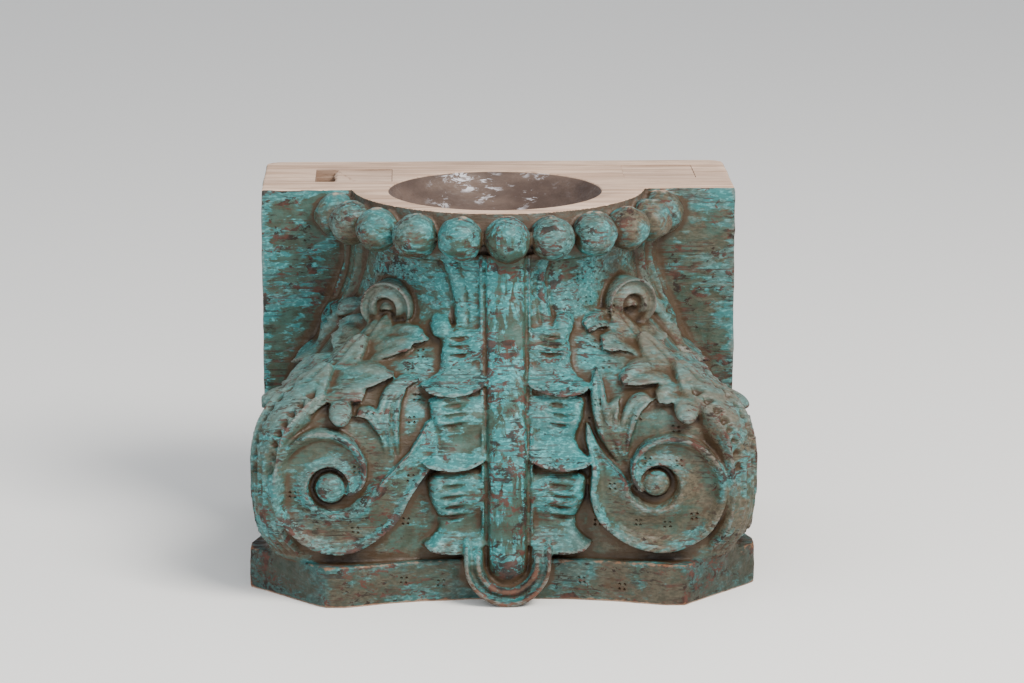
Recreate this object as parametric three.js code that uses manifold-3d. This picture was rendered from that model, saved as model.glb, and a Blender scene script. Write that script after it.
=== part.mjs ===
// Carved wooden half capital, stood upside down, with a bowl turned into its top.
// Millimetres, +Z up, front towards -Y, origin under the middle of the whole part.
import * as THREE from 'three';
import { mergeVertices } from 'three/addons/utils/BufferGeometryUtils.js';
import { ParametricGeometry } from 'three/addons/geometries/ParametricGeometry.js';
import Module from 'manifold-3d';

const wasm = await Module();
wasm.setup();

// Driving dimensions of the block
const HEIGHT = 285;
const SLAB_WIDTH = 372;
const SLAB_DEPTH = 124;
const SLAB_CORNER = 14;
const BACK_Y = 153;
const SLAB_FRONT_Y = BACK_Y - SLAB_DEPTH;

// The round neck stands on an axis just behind the slab's front face
const AXIS_BEHIND_SLAB_FRONT = 14;
const AXIS_Y = SLAB_FRONT_Y + AXIS_BEHIND_SLAB_FRONT;

// Abacus: canted corners and hollow sides, measured from the neck axis
const ABACUS_HEIGHT = 32;
const ABACUS_REACH = 193;
const ABACUS_CANT_START = 135;
const ABACUS_NOSE = 14;
const ABACUS_SAG = 20;

// Bell: a round neck that flares to a square with bowed sides and full corners
const NECK_RADIUS = 112;
const NECK_FLARE = 5;
const NECK_FLARE_TOP = 240;
const NECK_FLARE_RUN = 45;
const BELL_TOP = 252;
const CORE_FORWARD = 140;
const BELL_FACE = 166;
const BELL_CORNER = 166;
const BELL_BOW = 30;
const BELL_FACE_PULL = 72;
const FACE_FLARE_TOP = 230;
const FACE_FLARE_END = 80;
const CORNER_FLARE_TOP = 208;
const CORNER_FLARE_END = 130;
const BELL_STATIONS = 5;
const BELL_LEVELS = [26, 75, 125, 142, 157, 172, 189, 212, BELL_TOP];

// Collar and bead row round the neck
const COLLAR_RADIUS = 115;
const COLLAR_HEIGHT = 36;
const COLLAR_SIDES = 56;
const BEAD_RADIUS = 17.8;
const BEAD_RING_RADIUS = 128;
const BEAD_PITCH_DEG = 16;
const BEAD_FIRST_DEG = -79;
const BEAD_COUNT = 11;

// Bowl turned into the top, off the neck axis
const BOWL_X = -3;
const BOWL_Y = 24;
const BOWL_RADIUS = 83.5;
const BOWL_DEPTH = 48;

// Mortises let into the top and the plugs that fill them
const FIT_GAP = 0.3;
const MORTISE_DEPTH = 28;
const MORTISES = {
  left: { x: [-144, -83], y: [62, 116], plugX: [-130, -83], drop: 0.6 },
  right: { x: [101, 158], y: [73, 127], plugX: [101, 158], drop: 0.4 },
};

// Middle rib and the tongue that its foot stands in
const RIB_X = 2;
const RIB_HALF_WIDTH = 15;
const RIB_TOP_HEIGHT = 12;
const RIB_FOOT_HEIGHT = 25;
const RIB_TOP = 256;
const RIB_FOOT = 15;
const TONGUE_HALF_WIDTH = 31;
const TONGUE_TOP = 52;
const TONGUE_RIM = 7;
const TONGUE_FACE = 184;
const TONGUE_RIM_FACE = 196;

// Husks stacked on both sides of the rib: outer edge, top and lip heights
const HUSK_INNER = 15;
const HUSK_TAPER = 12;
const HUSK_TOP = 4;
const HUSK_BULGE = 14;
const HUSK_WAIST = 9;
const HUSK_LIP = 18;
const HUSK_LIP_DROP = 6;
const HUSKS = [
  { top: 200, lip: 161, shoulder: 44, waist: 51, tip: 64 },
  { top: 153, lip: 109, shoulder: 57, waist: 51, tip: 65 },
  { top: 100, lip: 45, shoulder: 57, waist: 50, tip: 63 },
];
const KNOB_RADIUS = 8;
const KNOB_ASIDE = 47;
const KNOB_LIFT = 3;

// Scrolls: the rim's radius about the eye, at turns counted from the stem
const SCROLL_FACE = 189;
const SCROLL_DISH = 9;
const SCROLL_BACK = 150;
const SCROLL_RIM = 4;
const SCROLL_BAND = 30;
const SCROLL_STEPS = 22;
const EYE_RADIUS = 13;
const EYE_STRETCH = 0.8;
const EYE_FACE = 190;
const SCROLLS = {
  left: {
    eye: [-130, 91],
    turns: [-8, 35, 80, 140, 200, 260, 310, 350, 385],
    radii: [74, 55, 51, 42, 39, 43, 36, 27, 14],
  },
  right: {
    eye: [112.5, 93],
    turns: [-4, 30, 60, 110, 140, 185, 225, 280, 340, 390],
    radii: [58, 51, 50, 53, 52, 49, 42.5, 32, 20, 12],
  },
};

// Corner band: runs down the diagonal from the neck, over the scrolls, under to the abacus
const BAND_ROUTE = [
  [116, 236], [122, 210], [140, 192], [172, 174], [210, 157], [239, 138],
  [250, 112], [251, 76], [246, 52], [231, 34],
];
const BAND_HALF_WIDTH = 21;
const BAND_NECK_HALF_WIDTH = 12;
const BAND_WIDE_FROM = 0.45;
const BAND_STEPS = 13;
const BAND_CROWN = 9;
const BAND_DEEP = 34;
const BAND_AROUND = 12;
const REED_COUNT = 3;
const REED_DEPTH = 2.2;
const REEDS_FROM = 0.6;
const REEDS_FADE = 0.12;
const TOOTH_COUNT = 6;
const TOOTH_RADIUS = 4.5;
const TOOTH_ACROSS = 0.9;
const TEETH_FROM = 0.47;
const TEETH_TO = 0.7;

// Leaves: spine from root over a bend to the tip, in front elevation, then width and height
const LEAVES = {
  left: [
    { spine: [[-112, 180], [-86, 186], [-58, 194]], width: 11, height: 11 },
    { spine: [[-138, 148], [-110, 177], [-78, 167]], width: 14, height: 14 },
    { spine: [[-104, 196], [-112, 221], [-84, 219]], width: 8, height: 9 },
    { spine: [[-84, 221], [-66, 209], [-80, 197]], width: 7, height: 9 },
    { spine: [[-156, 139], [-148, 147], [-140, 150]], width: 5, height: 9 },
    { spine: [[-79, 118], [-86, 146], [-63, 165]], width: 8, height: 9 },
    { spine: [[-80, 118], [-66, 138], [-64, 163]], width: 7, height: 8 },
    { spine: [[-84, 116], [-88, 134], [-104, 143]], width: 7, height: 7 },
  ],
  right: [
    { spine: [[116, 180], [92, 188], [64, 198]], width: 11, height: 11 },
    { spine: [[128, 160], [104, 168], [78, 181]], width: 10, height: 11 },
    { spine: [[150, 146], [118, 176], [92, 162]], width: 14, height: 14 },
    { spine: [[108, 196], [120, 221], [94, 220]], width: 8, height: 9 },
    { spine: [[94, 220], [74, 211], [88, 197]], width: 7, height: 9 },
    { spine: [[84, 116], [70, 140], [69, 167]], width: 8, height: 9 },
    { spine: [[85, 117], [88, 140], [108, 151]], width: 8, height: 8 },
  ],
};
const BUDS = { left: [-122, 147], right: [136, 147] };
const CURLS = { left: [-90, 209], right: [97, 209] };
const BUD_RADIUS = 8.5;
const BUD_LIFT = 7;
const LEAF_STEPS = 5;
const SIDE_LEAVES = 4;
const ROOT_DEPTH = 9;
const FOOT_SUNK = 1.8;
const SECTION_FULLNESS = 0.7;

// How finely round forms are stepped
const BALL_SIDES = 10;
const BALL_RINGS = 5;
const PLATE_SEGMENTS = 10;
const BOWL_RINGS = 5;
const BOWL_SIDES = 32;

const RAD = Math.PI / 180;

function smooth(t) {
  const k = THREE.MathUtils.clamp(t, 0, 1);
  return k * k * (3 - 2 * k);
}

// Value at x of a row of knots joined by a smooth curve
function along(xs, ys, x) {
  const last = xs.length - 1;
  if (x <= xs[0]) return ys[0];
  if (x >= xs[last]) return ys[last];
  const i = xs.findIndex((knot) => knot > x) - 1;
  const slope = (k) => {
    const before = Math.max(k - 1, 0);
    const after = Math.min(k + 1, last);
    return (ys[after] - ys[before]) / (xs[after] - xs[before]);
  };
  const span = xs[i + 1] - xs[i];
  const rise = ys[i + 1] - ys[i];
  const t = (x - xs[i]) / span;
  const bend = (1 - t) * (slope(i) * span - rise) - t * (slope(i + 1) * span - rise);
  return ys[i] + t * rise + t * (1 - t) * bend;
}

function bezier(a, b, c, d, t) {
  const s = 1 - t;
  return s * s * s * a + 3 * s * s * t * b + 3 * s * t * t * c + t * t * t * d;
}

// Plan point of the bell, [sideways, forward] from the axis: u runs from face middle to corner
function bellPoint(u, z) {
  const angle = (u * Math.PI) / 4;
  const round = NECK_RADIUS + NECK_FLARE * smooth((NECK_FLARE_TOP - z) / NECK_FLARE_RUN);
  const square = [
    bezier(0, BELL_FACE_PULL, BELL_CORNER - BELL_BOW, BELL_CORNER, u),
    bezier(BELL_FACE, BELL_FACE, BELL_CORNER + BELL_BOW, BELL_CORNER, u),
  ];
  const faceFlare = smooth((FACE_FLARE_TOP - z) / (FACE_FLARE_TOP - FACE_FLARE_END));
  const cornerFlare = smooth((CORNER_FLARE_TOP - z) / (CORNER_FLARE_TOP - CORNER_FLARE_END));
  const flare = THREE.MathUtils.lerp(faceFlare, cornerFlare, smooth(u));
  return [
    THREE.MathUtils.lerp(round * Math.sin(angle), square[0], flare),
    THREE.MathUtils.lerp(round * Math.cos(angle), square[1], flare),
  ];
}

// Forward distance of the bell's front face at a place in the front elevation
function bellForward(x, z) {
  const aside = Math.abs(x);
  const corner = bellPoint(1, z);
  if (aside >= corner[0]) return corner[0] + corner[1] - aside;
  let low = 0;
  let high = 1;
  for (let step = 0; step < 24; step += 1) {
    const middle = (low + high) / 2;
    if (bellPoint(middle, z)[0] < aside) low = middle;
    else high = middle;
  }
  return bellPoint(low, z)[1];
}

// Point of the part from the front elevation and a forward distance from the axis
function place(x, forward, z) {
  return new THREE.Vector3(x, AXIS_Y - forward, z);
}

// Point raised by a height off the bell's front face, with its foot set into the wood
function onBell(x, z, height) {
  return place(x, bellForward(x, z) + height - FOOT_SUNK, z);
}

// Closed solid from a closed geometry, with its faces turned outwards
function solid(geometry) {
  const bare = geometry.clone();
  bare.deleteAttribute('normal');
  bare.deleteAttribute('uv');
  const merged = mergeVertices(bare, 1e-3);
  const position = merged.attributes.position;
  const source = merged.index.array;
  const [a, b, c] = [new THREE.Vector3(), new THREE.Vector3(), new THREE.Vector3()];
  const faces = [];
  let volume = 0;
  for (let i = 0; i < source.length; i += 3) {
    const [p, q, r] = [source[i], source[i + 1], source[i + 2]];
    if (p === q || q === r || r === p) continue;
    a.fromBufferAttribute(position, p);
    b.fromBufferAttribute(position, q);
    c.fromBufferAttribute(position, r);
    volume += a.dot(b.cross(c));
    faces.push([p, q, r]);
  }
  const outward = volume < 0 ? faces.map(([p, q, r]) => [p, r, q]) : faces;
  return new wasm.Manifold(new wasm.Mesh({
    numProp: 3,
    vertProperties: new Float32Array(position.array),
    triVerts: new Uint32Array(outward.flat()),
  }));
}

// Closed skin over rings: ring(u, v) gives a point, and both end rings close to their middles
function skin(ring, around, rings) {
  const stacks = rings + 1;
  const middle = (v) => {
    const sum = new THREE.Vector3();
    for (let i = 0; i < around; i += 1) sum.add(ring(i / around, v));
    return sum.divideScalar(around);
  };
  const surface = (u, v, target) => {
    const row = Math.round(v * stacks);
    if (row === 0) return target.copy(middle(0));
    if (row === stacks) return target.copy(middle(1));
    return target.copy(ring(Math.round(u * around) % around / around, (row - 1) / (rings - 1)));
  };
  return new ParametricGeometry(surface, around, stacks);
}

// Half-round section: how far aside, 1 to -1 and back, and how high, 0 to 1, or below for its root
function halfRound(u) {
  const angle = u * 2 * Math.PI;
  const lift = Math.sin(angle);
  return [Math.cos(angle), lift >= 0 ? lift ** SECTION_FULLNESS : lift];
}

// Plate with a front-elevation outline, standing forward from the bell's core to a face
function plate(shape, face) {
  const geometry = new THREE.ExtrudeGeometry(shape, {
    depth: face - CORE_FORWARD,
    bevelEnabled: false,
    curveSegments: PLATE_SEGMENTS,
  });
  geometry.rotateX(Math.PI / 2);
  geometry.translate(0, AXIS_Y - CORE_FORWARD, 0);
  return geometry;
}

function slab() {
  const half = SLAB_WIDTH / 2;
  const inner = half - SLAB_CORNER;
  const shape = new THREE.Shape();
  shape.moveTo(-half, SLAB_FRONT_Y);
  shape.lineTo(half, SLAB_FRONT_Y);
  shape.absarc(inner, BACK_Y - SLAB_CORNER, SLAB_CORNER, 0, Math.PI / 2, false);
  shape.absarc(-inner, BACK_Y - SLAB_CORNER, SLAB_CORNER, Math.PI / 2, Math.PI, false);
  shape.closePath();
  return new THREE.ExtrudeGeometry(shape, { depth: HEIGHT, bevelEnabled: false, curveSegments: 4 });
}

function abacus() {
  const y = (forward) => AXIS_Y - forward;
  const nose = ABACUS_CANT_START - ABACUS_NOSE;
  const hollow = ABACUS_REACH - ABACUS_SAG;
  const pull = ABACUS_REACH - 2 * ABACUS_SAG;
  const shape = new THREE.Shape();
  shape.moveTo(-hollow, y(0));
  shape.quadraticCurveTo(-hollow, y(nose / 2), -ABACUS_REACH, y(nose));
  shape.lineTo(-ABACUS_REACH, y(ABACUS_CANT_START));
  shape.lineTo(-ABACUS_CANT_START, y(ABACUS_REACH));
  shape.lineTo(-nose, y(ABACUS_REACH));
  shape.quadraticCurveTo(0, y(pull), nose, y(ABACUS_REACH));
  shape.lineTo(ABACUS_CANT_START, y(ABACUS_REACH));
  shape.lineTo(ABACUS_REACH, y(ABACUS_CANT_START));
  shape.lineTo(ABACUS_REACH, y(nose));
  shape.quadraticCurveTo(hollow, y(nose / 2), hollow, y(0));
  shape.closePath();
  return new THREE.ExtrudeGeometry(shape, {
    depth: ABACUS_HEIGHT,
    bevelEnabled: false,
    curveSegments: PLATE_SEGMENTS,
  });
}

// The bell's plan runs from the left side, by both corners and the front, to the right side
function bell() {
  const steps = 4 * BELL_STATIONS;
  const ring = (u, v) => {
    const z = BELL_LEVELS[Math.round(v * (BELL_LEVELS.length - 1))];
    const octant = (4 * Math.round(u * (steps + 1))) / steps - 2;
    const turn = Math.abs(octant);
    const side = Math.sign(octant);
    const [aside, forward] = bellPoint(turn <= 1 ? turn : 2 - turn, z);
    return turn <= 1 ? place(side * aside, forward, z) : place(side * forward, aside, z);
  };
  return skin(ring, steps + 1, BELL_LEVELS.length);
}

function collar() {
  const geometry = new THREE.CylinderGeometry(COLLAR_RADIUS, COLLAR_RADIUS, COLLAR_HEIGHT, COLLAR_SIDES);
  geometry.rotateX(Math.PI / 2);
  geometry.translate(0, AXIS_Y, HEIGHT - COLLAR_HEIGHT / 2);
  return geometry;
}

function ball(radius, centre) {
  const geometry = new THREE.SphereGeometry(radius, BALL_SIDES, BALL_RINGS);
  geometry.rotateX(Math.PI / 2);
  geometry.translate(centre.x, centre.y, centre.z);
  return geometry;
}

function beads() {
  const row = [];
  for (let i = 0; i < BEAD_COUNT; i += 1) {
    const angle = (BEAD_FIRST_DEG + i * BEAD_PITCH_DEG) * RAD;
    const forward = BEAD_RING_RADIUS * Math.cos(angle);
    row.push(ball(BEAD_RADIUS, place(BEAD_RING_RADIUS * Math.sin(angle), forward, HEIGHT - BEAD_RADIUS)));
  }
  return row;
}

function rib() {
  const ring = (u, v) => {
    const z = THREE.MathUtils.lerp(RIB_TOP, RIB_FOOT, v);
    const [aside, lift] = halfRound(u);
    const height = THREE.MathUtils.lerp(RIB_TOP_HEIGHT, RIB_FOOT_HEIGHT, v);
    const rise = lift >= 0 ? lift * height : lift * ROOT_DEPTH;
    return place(RIB_X + aside * RIB_HALF_WIDTH, bellForward(RIB_X, z) + rise, z);
  };
  return skin(ring, 8, 9);
}

// The tongue is a U with its round end on the floor, and a raised rim round the U
function tongue() {
  const inner = TONGUE_HALF_WIDTH - TONGUE_RIM;
  const body = new THREE.Shape();
  body.moveTo(RIB_X - TONGUE_HALF_WIDTH, TONGUE_TOP);
  body.absarc(RIB_X, TONGUE_HALF_WIDTH, TONGUE_HALF_WIDTH, Math.PI, 2 * Math.PI, false);
  body.lineTo(RIB_X + TONGUE_HALF_WIDTH, TONGUE_TOP);
  const rim = body.clone();
  rim.lineTo(RIB_X + inner, TONGUE_TOP);
  rim.absarc(RIB_X, TONGUE_HALF_WIDTH, inner, 2 * Math.PI, Math.PI, true);
  rim.lineTo(RIB_X - inner, TONGUE_TOP);
  return [plate(body, TONGUE_FACE), plate(rim, TONGUE_RIM_FACE)];
}

// One husk: a lobed sheath beside the rib that ends below in a lifted lip
function husk(side, { top, lip, shoulder, waist, tip }) {
  const ring = (u, v) => {
    const [across, lift] = halfRound(u);
    const outer = along([0, 0.3, 0.75, 1], [shoulder - HUSK_TAPER, shoulder, waist, tip], v);
    const height = along([0, 0.35, 0.75, 1], [HUSK_TOP, HUSK_BULGE, HUSK_WAIST, HUSK_LIP], v);
    const middle = (outer + HUSK_INNER) / 2;
    const half = (outer - HUSK_INNER) / 2;
    const x = RIB_X + side * (middle + half * across);
    const z = THREE.MathUtils.lerp(top, lip, v) - HUSK_LIP_DROP * (1 - across * across) * v * v;
    return onBell(x, z, lift >= 0 ? lift * height : lift * ROOT_DEPTH);
  };
  return skin(ring, 6, 6);
}

function knob(side) {
  return ball(KNOB_RADIUS, onBell(RIB_X + side * KNOB_ASIDE, HUSKS[0].top, KNOB_LIFT));
}

// Scroll band: a dished ribbon with a sharp outer rim, wound from its stem in to the eye
function scroll(side, { eye, turns, radii }) {
  const first = turns[0];
  const last = turns[turns.length - 1];
  const ring = (u, v) => {
    const turn = THREE.MathUtils.lerp(first, last, v);
    const outer = along(turns, radii, turn);
    const inner = Math.max(outer - SCROLL_BAND, EYE_RADIUS / 2);
    const section = [
      [outer, SCROLL_BACK],
      [outer, SCROLL_FACE],
      [Math.max(outer - SCROLL_RIM, inner), SCROLL_FACE - 1],
      [(outer + inner) / 2, SCROLL_FACE - SCROLL_DISH],
      [inner, SCROLL_FACE - SCROLL_DISH + 1],
      [inner, SCROLL_BACK],
    ];
    const [radius, forward] = section[Math.round(u * section.length) % section.length];
    const x = eye[0] - side * radius * Math.cos(turn * RAD);
    return place(x, forward, eye[1] - radius * Math.sin(turn * RAD));
  };
  return skin(ring, 6, SCROLL_STEPS);
}

function eyeBoss({ eye }) {
  const boss = new THREE.SphereGeometry(EYE_RADIUS, 8, 6);
  boss.scale(1, EYE_STRETCH, 1);
  boss.translate(eye[0], AXIS_Y - EYE_FACE + EYE_RADIUS * EYE_STRETCH, eye[1]);
  return boss;
}

// Place on the corner's upright diagonal plane: out from the axis, sideways of the diagonal, up
function onDiagonal(side, out, aside, z) {
  return place((side * (out + aside)) / Math.SQRT2, (out - aside) / Math.SQRT2, z);
}

const bandRoute = new THREE.CatmullRomCurve3(BAND_ROUTE.map(([out, z]) => new THREE.Vector3(out, 0, z)));

// Place on the corner band: v runs down its route, across runs from edge to edge, -1 to 1
function onBand(side, v, across, drop) {
  const middle = bandRoute.getPoint(v);
  const tangent = bandRoute.getTangent(v);
  const width = THREE.MathUtils.lerp(BAND_NECK_HALF_WIDTH, BAND_HALF_WIDTH, smooth(v / BAND_WIDE_FROM));
  return onDiagonal(side, middle.x + tangent.z * drop, across * width, middle.z - tangent.x * drop);
}

// Corner band: a crowned leaf above that turns to reeds where it wraps the scrolls
function cornerBand(side) {
  const half = BAND_AROUND / 2;
  const ring = (u, v) => {
    const step = Math.round(u * BAND_AROUND);
    const across = step < half ? 1 - (2 * step) / (half - 1) : (2 * (step - half)) / (half - 1) - 1;
    const reeds = REED_DEPTH * (1 - Math.cos(across * REED_COUNT * Math.PI));
    const crown = BAND_CROWN * across * across + reeds * smooth((v - REEDS_FROM) / REEDS_FADE);
    const drop = step < half ? crown : BAND_DEEP;
    return onBand(side, v, across, drop);
  };
  return skin(ring, BAND_AROUND, BAND_STEPS);
}

// Teeth: a row of small points down both edges of the corner band
function teeth(side) {
  const row = [];
  for (let i = 0; i < TOOTH_COUNT; i += 1) {
    const v = THREE.MathUtils.lerp(TEETH_FROM, TEETH_TO, i / (TOOTH_COUNT - 1));
    for (const edge of [-1, 1]) {
      const point = onBand(side, v, edge * TOOTH_ACROSS, BAND_CROWN);
      row.push(new THREE.OctahedronGeometry(TOOTH_RADIUS).translate(point.x, point.y, point.z));
    }
  }
  return row;
}

// Leaf: a pointed lobe with a round back along a bent spine
function leaf({ spine, width, height }) {
  const [root, bend, tip] = spine.map(([x, z]) => new THREE.Vector2(x, z));
  const curve = new THREE.QuadraticBezierCurve(root, bend, tip);
  const ring = (u, v) => {
    const at = curve.getPoint(v);
    const tangent = curve.getTangent(v);
    const [across, lift] = halfRound(u);
    const half = width * along([0, 0.45, 0.8, 1], [0.45, 1, 0.75, 0.08], v) * across;
    const rise = lift >= 0 ? lift * height * along([0, 0.6, 1], [0.7, 1, 0.55], v) : lift * ROOT_DEPTH;
    return onBell(at.x - tangent.y * half, at.y + tangent.x * half, rise);
  };
  return skin(ring, 6, LEAF_STEPS);
}

// The same ornament on the side face: swapped over the corner's diagonal
function onSide(side) {
  return new THREE.Matrix4().set(
    0, -side, 0, side * AXIS_Y,
    -side, 0, 0, AXIS_Y,
    0, 0, 1, 0,
    0, 0, 0, 1,
  );
}

// All ornament between the rib and one corner, and its main forms again on the side
function halfFace(name, side) {
  const main = [
    ...HUSKS.map((tier) => husk(side, tier)),
    scroll(side, SCROLLS[name]),
    eyeBoss(SCROLLS[name]),
    ...LEAVES[name].slice(0, SIDE_LEAVES).map(leaf),
    ball(BUD_RADIUS, onBell(...CURLS[name], 0)),
  ];
  const frontOnly = [
    knob(side),
    ...LEAVES[name].slice(SIDE_LEAVES).map(leaf),
    ball(BUD_RADIUS, onBell(...BUDS[name], BUD_LIFT)),
  ];
  const beside = main.map((ornament) => ornament.clone().applyMatrix4(onSide(side)));
  return [...main, ...frontOnly, ...beside, cornerBand(side), ...teeth(side)];
}

function bowl() {
  const sphere = (BOWL_RADIUS * BOWL_RADIUS + BOWL_DEPTH * BOWL_DEPTH) / (2 * BOWL_DEPTH);
  const opening = Math.asin(BOWL_RADIUS / sphere);
  const profile = [];
  for (let i = 0; i <= BOWL_RINGS; i += 1) {
    const angle = (opening * i) / BOWL_RINGS;
    profile.push(new THREE.Vector2(sphere * Math.sin(angle), sphere * (1 - Math.cos(angle)) - BOWL_DEPTH));
  }
  profile.push(new THREE.Vector2(BOWL_RADIUS, BOWL_DEPTH));
  profile.push(new THREE.Vector2(0, BOWL_DEPTH));
  const geometry = new THREE.LatheGeometry(profile, BOWL_SIDES);
  geometry.rotateX(Math.PI / 2);
  geometry.translate(BOWL_X, BOWL_Y, HEIGHT);
  return geometry;
}

function box(x, y, z) {
  const geometry = new THREE.BoxGeometry(x[1] - x[0], y[1] - y[0], z[1] - z[0]);
  geometry.translate((x[0] + x[1]) / 2, (y[0] + y[1]) / 2, (z[0] + z[1]) / 2);
  return geometry;
}

function mortise({ x, y }) {
  return box(x, y, [HEIGHT - MORTISE_DEPTH, HEIGHT + MORTISE_DEPTH]);
}

function plug({ plugX, y, drop }) {
  const inside = ([low, high]) => [low + FIT_GAP, high - FIT_GAP];
  return box(inside(plugX), inside(y), [HEIGHT - MORTISE_DEPTH + FIT_GAP, HEIGHT - drop]);
}

function join(geometries) {
  return geometries.map(solid).reduce((whole, piece) => whole.add(piece));
}

// Everything carved stands in front of the slab: what would run on behind is cut off
function capitalBlock() {
  const carved = join([
    bell(),
    abacus(),
    collar(),
    ...beads(),
    rib(),
    ...tongue(),
    ...halfFace('left', -1),
    ...halfFace('right', 1),
  ]);
  const behind = box([-HEIGHT, HEIGHT], [SLAB_FRONT_Y + FIT_GAP, HEIGHT], [-HEIGHT, 2 * HEIGHT]);
  const below = box([-HEIGHT, HEIGHT], [-HEIGHT, HEIGHT], [-HEIGHT, 0]);
  return carved
    .subtract(solid(behind))
    .subtract(solid(below))
    .add(solid(slab()))
    .subtract(solid(bowl()))
    .subtract(solid(mortise(MORTISES.left)))
    .subtract(solid(mortise(MORTISES.right)));
}

function geometryOf(whole) {
  const mesh = whole.getMesh();
  const geometry = new THREE.BufferGeometry();
  geometry.setAttribute('position', new THREE.Float32BufferAttribute(mesh.vertProperties, 3));
  geometry.setIndex([...mesh.triVerts]);
  geometry.computeVertexNormals();
  return geometry;
}

function piece(name, geometry, color) {
  const material = new THREE.MeshStandardMaterial({ color, roughness: 0.75, metalness: 0 });
  const mesh = new THREE.Mesh(geometry, material);
  mesh.name = name;
  return mesh;
}

const capital = new THREE.Group();
capital.add(piece('capital_block', geometryOf(capitalBlock()), 0x3f8f8c));
capital.add(piece('mortise_plug_left', plug(MORTISES.left), 0xb4977c));
capital.add(piece('mortise_plug_right', plug(MORTISES.right), 0xb4977c));

export default capital;
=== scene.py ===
"""Looks of a carved half capital: old timber in worn teal paint, with a bowl turned into its top."""

import logging
import math
from dataclasses import dataclass, field
from enum import Enum
from functools import cached_property, reduce
from typing import Iterator, Sequence

import bmesh
import bpy
import numpy as np
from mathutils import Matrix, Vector


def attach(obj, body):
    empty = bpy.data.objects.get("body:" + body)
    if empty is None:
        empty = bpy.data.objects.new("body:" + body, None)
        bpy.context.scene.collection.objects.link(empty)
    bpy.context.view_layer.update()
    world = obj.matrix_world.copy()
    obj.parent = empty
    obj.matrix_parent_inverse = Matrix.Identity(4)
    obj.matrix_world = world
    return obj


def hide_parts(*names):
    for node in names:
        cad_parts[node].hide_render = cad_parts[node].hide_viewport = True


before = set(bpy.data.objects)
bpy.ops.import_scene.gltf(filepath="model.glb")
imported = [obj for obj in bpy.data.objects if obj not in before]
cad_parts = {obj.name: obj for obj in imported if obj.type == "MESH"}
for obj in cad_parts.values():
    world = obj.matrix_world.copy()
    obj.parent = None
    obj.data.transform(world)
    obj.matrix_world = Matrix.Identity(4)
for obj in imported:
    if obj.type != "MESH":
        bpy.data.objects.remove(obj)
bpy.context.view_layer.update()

LOG = logging.getLogger("capital")
Array = np.ndarray
MM = 0.001
SEED = 7

# Large odd numbers that scramble a lattice place, and a shift that keeps places above 0
AXIS_SCRAMBLE = np.array([73856093, 19349663, 83492791])
SEED_SCRAMBLE = 2654435761
LAST_SCRAMBLE = 1274126177
LATTICE_SHIFT = 1000.0

# Sizes that several sub-assemblies share, in millimetres
HEIGHT = 285.0
BACK_Y = 153.0
SLAB_FRONT_Y = 29.0
AXIS_Y = 43.0
RIB_X = 2.0


class Side(Enum):
    """Left or right of the middle rib, as the sign of X."""

    LEFT = -1
    RIGHT = 1


class Gauge(Enum):
    """Values measured on the timber's surface, by the names that its finish reads."""

    PROUD = "proud"
    ARRIS = "arris"


# Middles of the scrolls' eyes and of the front curls: distance from the middle, and height
EYES = {Side.LEFT: (130.0, 91.0), Side.RIGHT: (112.5, 93.0)}
CURLS = {Side.LEFT: (86.0, 207.0), Side.RIGHT: (98.0, 207.0)}

# Axes that count when a distance is taken in plan or in the front elevation
PLAN = (1, 1, 0)
FRONT = (1, 0, 1)


# Small helpers on numbers


def smooth(t: Array) -> Array:
    """Soft step from 0 to 1."""
    k = np.clip(t, 0.0, 1.0)
    return k * k * (3.0 - 2.0 * k)


def ramp(value: Array, start: float, end: float) -> Array:
    """Soft step from 0 at start to 1 at end, which may also lie below start."""
    return smooth((value - start) / (end - start))


def hump(value: Array, width: float) -> Array:
    """Smooth hump of height 1 at 0."""
    return np.exp(-((value / width) ** 2))


def circle(count: int) -> Array:
    """Points round a circle of radius 1."""
    turn = np.linspace(0, 2 * math.pi, count, endpoint=False)
    return np.stack([np.cos(turn), np.sin(turn)], axis=1)


def along(xs: Sequence[float], ys: Sequence[float], x: Array) -> Array:
    """Smooth curve through a row of knots.

    Args:
        xs: Rising knot places.
        ys: Value at each knot.
        x: Places to read.

    Returns:
        The values, held constant past both ends.
    """
    px = np.asarray(xs, float)
    py = np.asarray(ys, float)
    slopes = np.gradient(py, px)
    at = np.clip(x, px[0], px[-1])
    i = np.clip(np.searchsorted(px, at, side="right") - 1, 0, len(px) - 2)
    span = px[i + 1] - px[i]
    t = (at - px[i]) / span
    rise = py[i + 1] - py[i]
    bend = (1 - t) * (slopes[i] * span - rise) - t * (slopes[i + 1] * span - rise)
    return py[i] + t * rise + t * (1 - t) * bend


def bezier(a: float, b: float, c: float, d: float, t: Array) -> Array:
    """Cubic curve through a and d, pulled towards b and c."""
    s = 1 - t
    return s**3 * a + 3 * s * s * t * b + 3 * s * t * t * c + t**3 * d


def bow(a: Sequence[float], b: Sequence[float], c: Sequence[float], t: Array) -> Array:
    """Curve from point a to point c that leans to b, at a column of shares t."""
    s = 1 - t
    start, middle, end = np.array([a, b, c], float)
    return s * s * start + 2 * s * t * middle + t * t * end


def rounded(edge: Array) -> Array:
    """Quarter round, from 0 at an edge to 1 inside it."""
    return np.sqrt(1 - (1 - edge) ** 2)


def at_height(plan: Array, z: float) -> Array:
    """The points of a plan, n by 2, at one height."""
    return np.column_stack([plan, np.full(len(plan), z)])


def cube_corners(part: Array) -> Iterator[tuple[Array, Array]]:
    """The eight corners of a lattice cube.

    Args:
        part: Places within the cube, each from 0 to 1 along the axes, n by 3.

    Yields:
        A corner's steps along the axes, and its weight at each place.
    """
    for corner in range(8):
        step = np.array([corner & 1, (corner >> 1) & 1, (corner >> 2) & 1])
        yield step, np.prod(np.where(step == 1, part, 1 - part), axis=1)


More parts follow.
